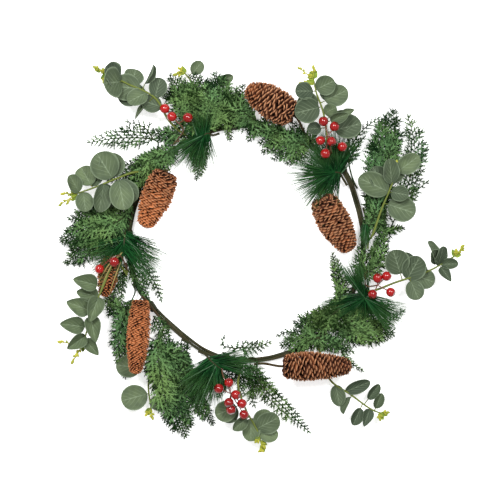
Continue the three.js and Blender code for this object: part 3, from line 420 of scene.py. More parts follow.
def curve_through(points, count):
    """Evenly spaced points on a smooth centripetal curve through the given ones."""
    p = np.asarray(points, float)
    p = np.vstack([2 * p[0] - p[1], p, 2 * p[-1] - p[-2]])
    gaps = np.maximum(np.sqrt(np.linalg.norm(np.diff(p, axis=0), axis=1)), 1e-3)
    t = np.linspace(0, 1, CURVE_STEPS)[:, None]
    made = []
    for i in range(1, len(p) - 2):
        before, gap, after = gaps[i - 1], gaps[i], gaps[i + 1]
        step = p[i + 1] - p[i]
        first = ((p[i] - p[i - 1]) / before - (p[i + 1] - p[i - 1]) / (before + gap) + step / gap) * gap
        last = (step / gap - (p[i + 2] - p[i]) / (gap + after) + (p[i + 2] - p[i + 1]) / after) * gap
        made.append(p[i] + first * t + (3 * step - 2 * first - last) * t**2 + (first + last - 2 * step) * t**3)
    dense = np.vstack(made)
    walked = np.concatenate([[0], np.cumsum(np.linalg.norm(np.diff(dense, axis=0), axis=1))])
    wanted = np.linspace(0, walked[-1], count)
    return np.stack([np.interp(wanted, walked, dense[:, k]) for k in range(3)], axis=1)


def spot(curve, share):
    """The point at a share of the way along a curve, and the direction there."""
    places = np.clip(np.atleast_1d(share), 0, 1) * (len(curve) - 1)
    low = np.minimum(places.astype(int), len(curve) - 2)
    part = (places - low)[:, None]
    ahead = np.gradient(curve, axis=0)
    point = curve[low] * (1 - part) + curve[low + 1] * part
    return point, unit(ahead[low] * (1 - part) + ahead[low + 1] * part)


def stretch(curve, first, last, count=40):
    return spot(curve, np.linspace(first, last, count))[0]


def length_of(curve):
    return np.linalg.norm(np.diff(curve, axis=0), axis=1).sum()


def add_rod(pile, curve, first, last, tone=0.5, kind="stalk", part=1):
    """A copy of the rod along a curve, tapering from one radius to another."""
    rod = RODS[kind]
    share = rod.points[:, 0]
    point, way = spot(curve, share)
    side = unit(np.cross(way, ROD_SIDEWAYS))
    other = np.cross(way, side)
    radius = (first + (last - first) * share)[:, None]
    placed = point + side * rod.points[:, 1:2] * radius + other * rod.points[:, 2:3] * radius
    pile.add(Shape(placed, rod.loops, rod.totals), np.eye(4), part, tone, along=share)


print("faces of the rods:", {kind: len(rod.totals) for kind, rod in RODS.items()})

# %% [markdown]
# Each fine spray has to stay where its solid is. A ray dropped on the solid gives its height at a place of
# the layout, and the end of the spray's foot is the part of the solid that lies furthest back on the ring.

# %% Finding the solids
RAY_START = 0.2
RAY_STEP = 2e-5
MOST_HITS = 12
THICKNESS = 0.6
FOOT_LENGTH = 11
FOOT_ROOM = (12, 40, 20)  # how far from the seat a foot may lie: out, along and up


def tree_of(node):
    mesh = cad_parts[node].data
    return BVHTree.FromPolygons([v.co for v in mesh.vertices], [p.vertices for p in mesh.polygons])


def nearest_top(tree, x, y, expected, least_up=0.0):
    """Height and normal of the solid's upward face at x, y that is nearest to the expected height, or None."""
    found, level = [], RAY_START
    for _ in range(MOST_HITS):
        place, normal, _, _ = tree.ray_cast((x * MM, y * MM, level), (0, 0, -1))
        if place is None:
            break
        if normal.z > least_up:
            found.append((place.z / MM, normal))
        level = place.z - RAY_STEP
    return min(found, key=lambda hit: abs(hit[0] - expected)) if found else None


def settle(tree, points):
    """The layout's points at the height of the solid."""
    settled = []
    for x, y, z in points:
        top = nearest_top(tree, x, y, z)
        level = top[0] if top else tree.find_nearest((x * MM, y * MM, z * MM))[0].z / MM
        settled.append(np.array([x, y, level - THICKNESS]))
    return settled


def foot_of(node, seat, first):
    """Both ends of the spray's foot on the ring."""
    middle = np.array([ring_middle.x, ring_middle.y])
    base = at(*seat)[:2] - middle
    angle = math.atan2(base[1], base[0])
    radius = ring_radius(angle)
    ahead = first[:2] - middle - radius * np.array([math.cos(angle), math.sin(angle)])
    sense = 1.0 if np.array([-math.sin(angle), math.cos(angle)]) @ ahead >= 0 else -1.0
    points = np.array([v.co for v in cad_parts[node].data.vertices]) / MM
    flat = points[:, :2] - middle
    turn = np.angle(np.exp(1j * (np.arctan2(flat[:, 1], flat[:, 0]) - angle))) * radius * sense
    out, along, up = FOOT_ROOM
    near = (np.abs(np.linalg.norm(flat, axis=1) - radius) < out) & (np.abs(turn) < along) & (points[:, 2] < up)
    end = points[near & (turn < turn[near].min() + 2)].mean(0)
    lean = math.atan2(end[1] - middle[1], end[0] - middle[0]) + sense * FOOT_LENGTH / RING_RADIUS
    reach = np.linalg.norm(end[:2] - middle)
    return end, np.array([middle[0] + reach * math.cos(lean), middle[1] + reach * math.sin(lean), end[2]])


def main_stem(node, seat, route):
    tree = tree_of(node)
    places = settle(tree, [at(*p) for p in route])
    return tree, curve_through([*foot_of(node, seat, places[0]), *places], 80)


# %% [markdown]
# The ring is two taped strands that lie side by side with a slit between them, and three thin stems that
# wander over them. A torus is the right start for each. Its points are then moved along the slow waves of
# a hand-bound ring, and lumps are raised where the tape was drawn tight over leaf stalks.

# %% Ring strands
STRAND_RADIUS = 2.1
STRAND_SPREAD = 2.0
STRAND_HEIGHT = 7.0
RING_SEGMENTS = 300
WANDERERS = ((3, 0.4, 1.2), (5, 2.0, 0.9), (4, 4.1, 1.0))  # waves round the ring, where they start, radius
WANDER_OUT, WANDER_UP = 2.7, 2.4
STRAND_LUMPS, STEM_LUMPS = 0.1, 0.16


def strand_centre(angle, strand):
    wave = 0.3 * math.sin(5 * angle) if strand > 0 else 0.3 * math.sin(4 * angle + 1)
    return ring_radius(angle) + strand * STRAND_SPREAD + wave, STRAND_HEIGHT + 0.5 * math.sin(3 * angle + strand)


def strand_shape(radius, centre, lump, sides):
    obj = start(bpy.ops.mesh.primitive_torus_add, major_radius=RING_RADIUS, minor_radius=radius,
                major_segments=RING_SEGMENTS, minor_segments=sides)

    def on_centre_line(p):
        angle = math.atan2(p.y, p.x)
        out = math.hypot(p.x, p.y) - RING_RADIUS
        turn = math.atan2(p.z, out)
        swell = 1 + lump * math.sin(23 * angle + 2 * turn) * math.sin(7 * angle + turn)
        reach, level = centre(angle)
        reach += out * swell
        return Vector((reach * math.cos(angle), reach * math.sin(angle), level + p.z * swell))

    shape = as_shape(move(obj, on_centre_line))
    shape.along = np.arctan2(shape.points[:, 1], shape.points[:, 0]) / (2 * math.pi)
    return shape


ring_pile = Pile()
ring_place = np.eye(4)
ring_place[:3, 3] = (ring_middle.x, ring_middle.y, 0)
for strand in (-1, 1):
    shape = strand_shape(STRAND_RADIUS, lambda angle, s=strand: strand_centre(angle, s), STRAND_LUMPS, 12)
    ring_pile.add(shape, ring_place, tones=0.4 + 0.15 * strand)
for waves, offset, radius in WANDERERS:
    def wander(angle, waves=waves, offset=offset):
        turn = waves * angle + offset
        level = STRAND_HEIGHT + WANDER_UP * math.cos(2 * turn) ** 2
        return ring_radius(angle) + WANDER_OUT * math.sin(turn), level
    ring_pile.add(strand_shape(radius, wander, STEM_LUMPS, 8), ring_place, part=1, tones=0.5 + 0.1 * waves / 5)
print("ring points:", ring_pile.count)

# %% [markdown]
# Floral tape is wound tightly round the ring where sprays are bound on. Three of these bindings are thicker
# and have flat undersides, which the wreath rests on. A cylinder on its side is the start. It is cut into
# rings that step up and down like turns of tape, and its ends are drawn in.

# %% Tape bindings
WRAP_LENGTH = 15.0
WRAP_HALF_WIDTH = 5.8
HIGH_WRAP_DROP = 1.6  # how much flatter the bindings are that the wreath doesn't rest on
REST_WRAPS = (96, 214, 331)
HIGH_WRAPS = (38, 133, 176, 268)


def wrap_shape(half_height):
    obj = start(bpy.ops.mesh.primitive_cylinder_add, vertices=16, radius=1, depth=1, rotation=(0, math.pi / 2, 0))
    bpy.ops.object.transform_apply(rotation=True)
    cut_rings(obj, 9, axis=0)

    def tape(p):
        turn = math.atan2(p.z, p.y)
        step = 0.04 * ((10 * (p.x + 0.5) + turn / (2 * math.pi)) % 1)
        ease = 1 - 0.22 * max(0.0, abs(p.x) - 0.36) / 0.14
        grow = (0.955 + step) * ease
        flat = max(-1.0, 1.08 * p.z * grow)
        return Vector((p.x * WRAP_LENGTH, p.y * WRAP_HALF_WIDTH * grow, flat * half_height))

    return as_shape(move(obj, tape))


for drop, bindings, tone in ((0, REST_WRAPS, 0.55), (HIGH_WRAP_DROP, HIGH_WRAPS, 0.5)):
    binding = wrap_shape(STRAND_HEIGHT - drop)
    for angle in map(math.radians, bindings):
        radius, across, up = ring_radius(angle), math.cos(angle), math.sin(angle)
        place = (ring_middle.x + radius * across, ring_middle.y + radius * up, STRAND_HEIGHT)
        ring_pile.add(binding, frames(place, (-up, across, 0)), tones=tone)
print("bindings:", len(REST_WRAPS) + len(HIGH_WRAPS))

# %% [markdown]
# Floral tape is waxy crepe paper, brown-green and matt, with fine slanting ridges. The ridges follow the
# strand, so they are drawn from how far along and around a point lies. The thin stems are plainer bark.

# %% Tape finish
tape_finish = Finish("floral_tape", Specular_IOR_Level=0.2)
part, along = tape_finish.facts("part", "along")
patches = tape_finish.noise(45.0, 4.0)
dark_tape = patches.mix((0.01, 0.012, 0.005), (0.038, 0.042, 0.016))
bark = patches.mix((0.018, 0.016, 0.007), (0.06, 0.052, 0.022))
tape_finish.look(part.mix(dark_tape, bark), 0.62 + 0.25 * patches)
tape_finish.relief((along * 900.0).sine() * 0.5 + tape_finish.noise(700.0, 2.0), 0.0005, 0.8)
ring = ring_pile.make("taped_ring", tape_finish, 40)
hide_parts("ring")
print("ring faces:", len(ring.data.polygons))

# %% [markdown]
# Cones are hung from the ring by short stalks. Each scale is a woody petal: narrow at its root, broad and
# thick at its lip, arched across and curled outwards. One is shaped from a small grid that is drawn out to a
# slab, and a few hundred copies stand round a core in the spiral that real cones grow in, smaller at both ends.
# A round of flatter scales closes each end.

# %% Cone scale
SCALE_WIDTHS = (0.35, 0.8, 1.0, 0.5)


def petal(p):
    along = p.x + 0.5
    across = 2 * p.y
    wide = SCALE_WIDTHS[round(3 * along)]
    thick = 0.08 + 0.1 * along**2
    level = 0.26 * along**2 - 0.2 * across**2 * along
    tip = (0.12 - 0.16 * abs(across)) * along**4
    return Vector((along + tip, across * wide / 2, level + p.z * thick))


scale_obj = start(bpy.ops.mesh.primitive_grid_add, x_subdivisions=3, y_subdivisions=3, size=1)
pick(scale_obj, lambda p: True, "FACE")
bpy.ops.mesh.extrude_region_move(TRANSFORM_OT_translate={"value": (0, 0, -1)})
bpy.ops.mesh.select_all(action="SELECT")
bpy.ops.mesh.normals_make_consistent(inside=False)
cone_scale = as_shape(move(scale_obj, petal))
print("faces of one scale:", len(cone_scale.totals))

# %% [markdown]
# Each cone is listed in the front view: where its stalk is bound on, the two ends of its core with their
# heights in millimetres, and its width. Then come how light it is, how much lighter it gets towards its tip,
# how far its scales stand open, how late it tapers, and the area that each scale covers.

# %% Cones
CONES = {
    "cone_top": ((303, 139), (292, 115, 36), (249, 89, 36), 33, -0.16, 1.0, 1.05, 1.0, 38),
    "cone_upper_left": ((160, 163), (166, 174, 32), (145, 225, 28), 31, 0.6, 1.1, 1.0, 0.8, 22),
    "cone_right": ((340, 172), (322, 200, 32), (349, 249, 26), 33, 0.08, 0.3, 1.0, 0.9, 30),
    "cone_lower_left": ((147, 307), (141, 301, 36), (136, 372, 36), 23, 1.0, 0.1, 0.75, 1.0, 14),
    "cone_bottom": ((268, 359), (285, 366, 34), (349, 366, 34), 29, -0.02, -0.3, 0.95, 0.7, 36),
    "cone_left": ((128, 245), (112, 257, 24), (104, 295, 24), 21, 0.7, 0.3, 1.0, 1.0, 18),
}
GOLDEN_TURN = math.pi * (3 - math.sqrt(5))
USUAL_AREA = 21.0
SCALE_SIZES = ((0, 0.15, 0.6, 1), (0.62, 0.95, 1.0, 0.5))  # places along the cone and how large scales are there
SCALE_SHARES = (0.6, 0.52, 0.26)  # length, width and thickness of a scale beside the cone's radius
CAP_SHARE = 0.92
STALK_RADIUS = 1.9
CAPS = ((0, -0.08, (2.3, 1.6)), (1, 0.16, (0.1, 0.6)))  # which end, how far past it, slopes inside and outside


def cone_radius(share, radius):
    return radius * math.sin(math.pi * (0.22 + 0.64 * min(share, 1))) ** 0.7


def barrel(p):
    bulge = math.hypot(1, 2 * p.z) * (0.85 - 0.3 * p.z)
    return Vector((min(max(1.25 * p.z, -0.5), 0.5) + 0.5, p.x * bulge, p.y * bulge))


core_obj = start(bpy.ops.mesh.primitive_uv_sphere_add, segments=16, ring_count=10, radius=0.5)
core_shape = as_shape(move(core_obj, barrel))


def add_cone(pile, draw, node, seat, base, tip, width, tone, fade, spread, taper, area):
    start_point, end_point = at(*base), at(*tip)
    length = np.linalg.norm(end_point - start_point)
    axis = (end_point - start_point) / length
    radius = width * GRID / 2
    side = unit(np.cross(axis, UP))
    up = np.cross(side, axis)
    pile.add(core_shape, frames(start_point, axis, up, (length - 1, radius * 1.4, radius * 1.4)), 1, tone)

    count = int(2 * math.pi * radius * 0.85 * length / area)
    share = (np.arange(count) + 0.5) / count
    reach = np.array([cone_radius(s, radius) for s in share**taper])
    slope = np.interp(share, [0, 0.12, 0.5, 0.9, 1], [1.5, 1.15 * spread, spread, 0.75 * spread, 0.45])
    turn = np.arange(count) * GOLDEN_TURN
    place = share * length
    for end, past, slopes in CAPS:
        cap_radius = cone_radius(end, radius) * CAP_SHARE
        count = int(math.pi * cap_radius**2 / (0.5 * area)) + 3
        out = np.sqrt((np.arange(count) + 0.5) / count)
        share = np.concatenate([share, np.full(count, end)])
        reach = np.concatenate([reach, cap_radius * out])
        slope = np.concatenate([slope, np.interp(out, [0, 1], slopes)])
        turn = np.concatenate([turn, np.arange(count) * GOLDEN_TURN])
        place = np.concatenate([place, end * length + past * radius * (1 - out**2)])

    count = len(share)
    turn = turn + draw.uniform(-0.1, 0.1, count)
    slope = slope + draw.uniform(-0.16, 0.16, count)
    out = side * np.cos(turn)[:, None] + up * np.sin(turn)[:, None]
    ahead = axis * np.cos(slope)[:, None] + out * np.sin(slope)[:, None]
    size = np.interp(share, *SCALE_SIZES) * draw.uniform(0.8, 1.15, count)
    size *= math.sqrt(area / USUAL_AREA)
    long, wide, thick = (beside * radius * size for beside in SCALE_SHARES)
    lip = start_point + axis * place[:, None] + out * (reach * draw.uniform(0.9, 1.03, count))[:, None]
    root = lip - ahead * long[:, None]
    sizes = np.stack([long, wide * draw.uniform(0.75, 1.15, count), thick], 1)
    leaning = out + np.cross(axis, out) * draw.uniform(-0.28, 0.28, count)[:, None]
    tones = tone + fade * (share - 0.5) + draw.uniform(-0.32, 0.32, count)
    pile.add(cone_scale, frames(root, ahead, leaning, sizes), 0, tones)
    route = [start_point - axis * 7, start_point + axis * 5]
    stalk = curve_through([*foot_of(node, seat, route[0]), *route], 60)
    add_rod(pile, stalk, STALK_RADIUS, STALK_RADIUS, tone=0.4, part=2)


# %% [markdown]
# Cone bark is warm orange-brown on the lips. Towards each scale's root it is painted nearly black, as the shade
# deep between the scales, so the colour follows how far along its scale a point lies. Fine grain runs through it.
# The core is painted dark, as the shade inside the cone, and the stalk is dull brown.

# %% Cone finish
cone_finish = Finish("cone_bark", Specular_IOR_Level=0.08)
part, tone, along = cone_finish.facts("part", "tone", "along")
grain = cone_finish.noise(420.0, 4.0)
lip = tone.clamped().mix((0.085, 0.026, 0.013), (0.64, 0.2, 0.066))
edged = (along.ramp(0.82, 5.0) * 0.85).mix(lip, (0.66, 0.32, 0.16))
# Painted shade: each scale darkens towards its root, deep between the scales.
painted_root_shade = along.ramp(0.5, 2.8).mix((0.02, 0.008, 0.005), edged)
grained = (grain * 0.5).mix(painted_root_shade, (0.05, 0.018, 0.01))
# Painted shade: the core is nearly black, as the shade inside the cone.
painted_dark_core = part.above(0.5).mix(grained, (0.01, 0.004, 0.003))
cone_finish.look(part.above(1.5).mix(painted_dark_core, (0.05, 0.035, 0.016)), 0.5 + 0.3 * grain)
cone_finish.relief(grain, 0.0006, 0.7)
dress(CONES, add_cone, "_scales", cone_finish, 35)

# %% [markdown]
# A eucalyptus leaf is a thin disc with a slight cup, a soft wave along its rim and a short stalk. A flat grid
# is the natural start: its rows run across the leaf and its columns run from root to tip, so the outline and
# the veins follow the same lines. Solidify gives it its thickness.

# %% Eucalyptus leaves
def leaf_shape(outline, cup, wave, fold=0.0):
    obj = start(bpy.ops.mesh.primitive_grid_add, x_subdivisions=12, y_subdivisions=8, size=1)

    def blade(p):
        share = min(max(p.x + 0.5, 0.0), 1.0)
        across = 2 * p.y
        along = (1 - math.cos(math.pi * share)) / 2
        wide = outline(share, along)
        level = cup * across**2 * wide + fold * abs(across) * wide
        level += wave * math.sin(9 * along + 2 * across) * abs(across) * wide - 0.05 * along**2
        return Vector((along, across * wide / 2, level))

    across = [abs(2 * v.co.y) for v in obj.data.vertices]
    along = [v.co.x + 0.5 for v in obj.data.vertices]
    move(obj, blade)
    solid = obj.modifiers.new("thickness", "SOLIDIFY")
    solid.thickness = 0.022
    solid.offset = 0
    bpy.ops.object.modifier_apply(modifier=solid.name)
    shape = as_shape(obj)
    shape.across, shape.along = np.array(across * 2), np.array(along * 2)
    return shape


def round_outline(share, along):
    return max(0.03, math.sin(math.pi * share)) * (1 + 0.1 * (along - 0.5))


def pointed_outline(share, along):
    return max(0.02, math.sin(math.pi * share) ** 1.1 * (1.25 - 0.75 * along))


LEAVES = {
    "round": [leaf_shape(round_outline, 0.12, 0.03), leaf_shape(round_outline, 0.06, 0.05)],
    "pointed": [leaf_shape(pointed_outline, 0.05, 0.03, 0.3), leaf_shape(pointed_outline, 0.1, 0.04, 0.18)],
    "oval": [leaf_shape(pointed_outline, 0.12, 0.02, 0.08), leaf_shape(round_outline, 0.16, 0.03, 0.1)],
}
print("faces of one leaf:", len(LEAVES["round"][0].totals))

# %% [markdown]
# Buds are small yellow-green beads in fours on the spray's last fine twigs. A ball with few faces, drawn out
# into a drop, is enough for each.

# %% Buds
BUDS = ((1.0, 0.0, 3.4), (0.72, 0.9, 2.7), (0.6, -0.9, 2.6), (0.9, 0.6, 2.2))  # place, lean and size on a twig
bud_obj = start(bpy.ops.mesh.primitive_ico_sphere_add, subdivisions=2, radius=1)
move(bud_obj, lambda p: Vector((p.z, p.x * (0.62 - 0.16 * p.z), p.y * (0.62 - 0.16 * p.z))))
bud_shape = as_shape(bud_obj)


def add_bud_twig(pile, draw, root, tip):
    middle = (root + tip) / 2 + (0, 0, draw.uniform(0.5, 2.0))
    twig = curve_through([root, middle, tip], 20)
    add_rod(pile, twig, 1.0, 0.7, kind="twig", part=2)
    way = unit(tip - root)
    side = np.cross(way, UP)
    for share, lean, size in BUDS:
        point = spot(twig, share)[0][0]
        ahead = unit(way * math.cos(lean) + side * math.sin(lean) + (0, 0, draw.uniform(-0.2, 0.5)))
        size *= draw.uniform(0.85, 1.2)
        place = frames(point + ahead * size * 0.9, ahead, (0.1, 0.2, 1), size)
        pile.add(bud_shape, place, 2, draw.uniform(0.2, 1))


print("faces of one bud:", len(bud_shape.totals))

# %% [markdown]
# Every eucalyptus spray is listed in the front view: where its foot is bound on, the darkest and lightest
# tone of its leaves and the share of twin leaves, the way its stem takes with heights in millimetres, for
# each leaf its middle, length, width and rise above the stem, and the tips of its bud twigs. The leaf grows
# from the point of the stem that lies at its own length from its middle. The solid then tells how high the
# leaf lies and how it is tilted. Leaves grow in pairs, so some have a twin close below them, each bud twig
# starts with a young yellow-green leaf, and one spray sends bare stems over the cone beside it.

# %% Eucalyptus sprays
EUCALYPTUS = {
    "eucalyptus_lower_left": ((160, 323), (0.5, 0.7, 0),
        ((154, 350, 9), (148, 385, 10), (151, 411, 10)),
        ((134, 398, 26, 25, 2), (128, 367, 24, 22, 2), (157, 404, 16, 14, 2)),
        ((152, 417), (147, 414))),
    "eucalyptus_top": ((203, 133), (0.2, 0.7, 0.4),
        ((200, 112, 10), (196, 88, 12), (184, 72, 14)),
        ((197, 66, 15, 13, 2), (225, 79, 17, 10, 3)),
        ((180, 69), (177, 74))),
    "eucalyptus_bottom_right": ((318, 337), (0, 0.35, 0),
        ((320, 352, 7), (330, 380, 10), (351, 395, 14), (374, 411, 16), (388, 415, 16)),
        ((338, 396, 21, 15, 3), (358, 387, 26, 13, 4), (347, 406, 18, 9, 2), (374, 392, 18, 10, 3),
         (379, 401, 16, 10, 3), (357, 417, 18, 12, 3), (367, 418, 18, 12, 4)),
        ((380, 417), (386, 413))),
    "eucalyptus_bottom": ((238, 361), (0.4, 1, 0.8),
        ((238, 385, 22), (246, 410, 24), (258, 432, 22), (262, 447, 20)),
        ((226, 411, 22, 21, 3), (251, 430, 22, 18, 3), (268, 423, 24, 22, 4), (269, 435, 18, 15, 6),
         (240, 424, 18, 12, 3)),
        ((263, 445), (261, 453), (257, 441))),
    "eucalyptus_upper_left": ((184, 143), (0, 0.62, 0.8),
        ((170, 122, 30), (155, 98, 36), (127, 84, 40), (98, 70, 38)),
        ((127, 88, 27, 27, 4), (114, 84, 26, 30, 14), (152, 104, 20, 18, 4), (138, 98, 22, 18, 6),
         (134, 77, 20, 20, -6), (158, 88, 20, 18, 2), (150, 75, 20, 8, 6), (141, 112, 18, 7, 2)),
        ((97, 69), (103, 72), (109, 71), (105, 81))),
    "eucalyptus_left": ((146, 181), (0.3, 0.85, 1),
        ((136, 172, 26), (116, 179, 32), (94, 188, 34), (76, 194, 32)),
        ((105, 166, 28, 29, 5), (122, 195, 30, 24, 6), (102, 198, 28, 19, 3), (85, 202, 20, 18, 5),
         (75, 184, 20, 16, 6), (86, 176, 22, 21, -3)),
        ((65, 194), (69, 202), (62, 204)),
        None,
        (((125, 250, 20), (114, 262, 43), (103, 284, 36), (99, 296, 20)),
         ((126, 252, 18), (110, 264, 44), (100, 280, 34)), ((124, 254, 18), (118, 270, 40), (110, 292, 30)))),
    "eucalyptus_upper_right": ((326, 156), (0, 0.65, 1),
        ((327, 136, 26), (323, 112, 34), (316, 93, 40), (313, 78, 42)),
        ((307, 111, 26, 25, 5), (348, 127, 26, 24, 3), (336, 96, 24, 21, 3), (325, 86, 20, 20, 6),
         (304, 92, 19, 18, 4), (330, 111, 15, 14, 4), (339, 118, 20, 11, 12), (314, 129, 15, 13, 9),
         (348, 112, 12, 8, 2)),
        ((300, 70), (313, 70), (310, 77), (303, 84))),
    "eucalyptus_right_upper": ((365, 245), (0.15, 0.75, 0.6),
        ((372, 236, 28), (381, 210, 34), (390, 188, 38), (396, 172, 36)),
        ((373, 185, 32, 24, 5), (401, 209, 28, 25, 5), (408, 164, 25, 19, 4), (390, 172, 26, 18, 8),
         (399, 194, 18, 16, 3)),
        ((396, 165),)),
    "eucalyptus_lower_left_side": ((129, 258), (0.6, 0.8, 0),
        ((116, 262, 34), (102, 290, 38), (92, 315, 36), (83, 346, 28)),
        ((86, 282, 24, 18, 4), (79, 306, 24, 20, 4), (95, 309, 26, 18, 6), (73, 325, 24, 18, 3),
         (94, 329, 26, 17, 5), (88, 294, 22, 17, 3), (77, 342, 22, 15, 3), (92, 347, 20, 13, 2)),
        ((78, 353), (74, 360), (62, 342)),
        "pointed"),
    "eucalyptus_right": ((357, 280), (0, 0.52, 0.8),
        ((370, 291, 34), (396, 282, 36), (428, 271, 36), (456, 255, 34)),
        ((413, 268, 25, 24, 5), (396, 262, 25, 25, 10), (414, 290, 20, 18, 5), (425, 279, 19, 19, 4),
         (433, 252, 24, 15, 4), (440, 256, 22, 14, 6), (449, 264, 17, 11, 3), (445, 274, 18, 11, 3)),
        ((455, 252), (459, 251), (464, 248))),
}
SMALL_LENGTH = 21
ROUND_FROM = 0.72  # width to length of the small leaves that are round
LEAF_GROWTH = 1.03
LEAST_REACH = 16
LEAF_SINK = 0.45
LEAFY_PART = (0.2, 0.985)  # the part of a stem that leaves and twigs grow from
TWIN_DROP = 4.2
TWIN_LENGTH, TWIN_WIDTH = 0.86, 0.9  # beside those of its leaf
TWIN_TURNS = (0.4, 0.8)
YOUNG_LENGTHS = (9.5, 12.5)
LEAF_UP = 0.15  # least upward part of the normal of a leaf in the solid


def nearest_on_stem(stem, place, reach):
    """The first point of the stem whose distance in plan from a place is close to a reach."""
    part = stretch(stem, *LEAFY_PART, 54)
    miss = np.abs(np.hypot(part[:, 0] - place[0], part[:, 1] - place[1]) - reach)
    best = 0
    for i in range(1, len(part)):
        if miss[i] < miss[best] - 0.4:
            best = i
    return part[best]


def add_eucalyptus(pile, draw, node, seat, look, stem, leaves, buds, kind=None, bare_stems=()):
    darkest, lightest, twins = look
    tree, curve = main_stem(node, seat, stem)
    add_rod(pile, curve, *STEM_RADII, kind="stem")
    for route in bare_stems:
        add_rod(pile, curve_through([at(*p) for p in route], 20), 1.1, 0.8, tone=0.9)
    for x, y, long, wide, rise in leaves:
        length, width = LEAF_GROWTH * long * GRID, LEAF_GROWTH * wide * GRID
        stem_point = nearest_on_stem(curve, at(x, y), math.sqrt(max(LEAST_REACH, (length / 2) ** 2 - rise**2)))
        centre = at(x, y, stem_point[2] + rise)
        top = nearest_top(tree, *centre, LEAF_UP)
        normal = np.array(top[1] if top else UP)
        centre[2] = top[0] - LEAF_SINK if top else centre[2]
        ahead = unit(centre - stem_point)
        root = centre - ahead * length / 2
        shapes = LEAVES[kind or ("round" if long >= SMALL_LENGTH or wide > ROUND_FROM * long else "oval")]
        shape = shapes[int(draw.integers(len(shapes)))]
        place = frames(root, ahead, normal, (length, width, length))
        pile.add(shape, place, 0, draw.uniform(darkest, lightest))
        if long >= SMALL_LENGTH and draw.random() < twins:
            turn = draw.choice((-1, 1)) * draw.uniform(*TWIN_TURNS)
            along, across, up = unit(place[0, :3, :3].T)
            twin = frames(root - up * TWIN_DROP, along * math.cos(turn) + across * math.sin(turn), up,
                          (length * TWIN_LENGTH, width * TWIN_WIDTH, length))
            # The twin below is painted darker, as the shade of the leaf above it.
            pile.add(shape, twin, 0, draw.uniform(darkest, lightest) - 0.3)
        stalk = [stem_point, (stem_point + root) / 2 - (0, 0, 0.6), root + ahead * 2.5]
        add_rod(pile, curve_through(stalk, 12), 0.8, 0.6, tone=0.6, kind="twig")
    for x, y in buds:
        root = nearest_on_stem(curve, at(x, y), 6)
        tip = at(x, y, root[2] + 1)
        add_bud_twig(pile, draw, root, tip)
        lean = draw.choice((-1, 1)) * draw.uniform(0.3, 0.7)
        ahead = unit(tip - root)
        size = draw.uniform(*YOUNG_LENGTHS)
        young = frames(root, ahead + np.cross(ahead, UP) * lean, sizes=(size, size * 0.72, size))
        pile.add(LEAVES["oval"][0], young, 3, draw.uniform(0.2, 0.9))


# %% [markdown]
# The leaves are matt grey-green and paler on some sprays than on others. Fine veins leave the midrib slantwise,
# and the rim is a thin pale line. Each leaf is painted darker towards its sides and its root, and a twin under a
# leaf darker still, as shade. Stems turn from brown-green to yellow-green, and buds are yellow.

# %% Eucalyptus finish
leaf_finish = Finish("eucalyptus_leaf", Specular_IOR_Level=0.15)
part, tone, along, across = leaf_finish.facts("part", "tone", "along", "across")
mottle = leaf_finish.noise(95.0, 4.0)
vein_wave = ((along - 0.4 * across) * 46.0).sine()
veins = vein_wave.ramp(0.7, 3.0) * (1.0 - across) + ((0.07 - across) * 16.0).clamped()
rim = across.ramp(0.86, 8.0)
grey = tone.clamped().mix((0.034, 0.05, 0.03), (0.13, 0.175, 0.083))
worn = (mottle.ramp(0.42, 4.0) * 0.45).mix(grey, (0.05, 0.07, 0.042))
# Painted shade: the blade darkens towards its sides, as the shade of the cupped blade.
edged = (across * across * 0.45).mix(worn, (0.043, 0.062, 0.04))
veined = (veins * 0.42).mix(edged, (0.23, 0.29, 0.19))
rimmed = (rim * 0.4).mix(veined, (0.26, 0.33, 0.21))
# Painted shade: the blade darkens near its root, where the leaves crowd round the stem.
leaf = (((0.4 - along) * 1.8).clamped() * 0.6).mix(rimmed, (0.03, 0.048, 0.028))
stem = tone.ramp(0.65, 4.0).mix((0.12, 0.15, 0.03), (0.27, 0.22, 0.08))
bud = tone.clamped().mix((0.2, 0.24, 0.03), (0.42, 0.4, 0.05))
young_leaf = tone.clamped().mix((0.12, 0.2, 0.035), (0.24, 0.31, 0.04))
colour = part.above(1.5).mix(part.above(0.5).mix(leaf, stem), bud)
leaf_finish.look(part.above(2.5).mix(colour, young_leaf), 0.5 + 0.25 * mottle)
leaf_finish.relief(veins + mottle * 0.5, 0.0004, 0.6)
dress(EUCALYPTUS, add_eucalyptus, "_leaves", leaf_finish, 50)

# %% [markdown]
# Berries are hard, glossy red balls on stiff brown-red wires. A ball with enough rings for a clean highlight
# gets a small dimple and a dark dot where the flower was, at the end away from its wire. The list gives where
# each sprig is bound on, the way to its fork, and each berry's middle.

# %% Berries
BERRIES = {
    "berries_upper_left": ((190, 139), ((184, 130, 32), (179, 124, 36)),
        ((165, 109, 38), (172, 117, 38), (188, 118, 38))),
    "berries_upper_right": ((333, 164), ((331, 152, 38), (328, 136, 46)),
        ((323, 122, 48), (334, 127, 46), (320, 141, 46), (331, 142, 48), (325, 154, 44), (342, 147, 38))),
    "berries_left": ((128, 252), ((120, 255, 38), (112, 258, 42)),
        ((100, 269, 42), (115, 262, 44))),
    "berries_right": ((355, 285), ((366, 286, 40), (377, 285, 44)),
        ((377, 278, 46), (386, 276, 46), (372, 294, 46), (390, 292, 46))),
    "berries_bottom": ((216, 357), ((223, 375, 38), (231, 393, 42)),
        ((229, 382, 44), (219, 388, 42), (236, 394, 46), (229, 402, 46), (242, 403, 44), (231, 409, 42),
         (244, 414, 40))),
}
BERRY_RADIUS = 7.0
berry_obj = start(bpy.ops.mesh.primitive_uv_sphere_add, segments=22, ring_count=14, radius=1)
pick(berry_obj, lambda p: p.z > 0.95)
bpy.ops.transform.translate(value=(0, 0, -0.1))
berry_shape = as_shape(move(berry_obj, lambda p: Vector((p.z, p.x, p.y))))


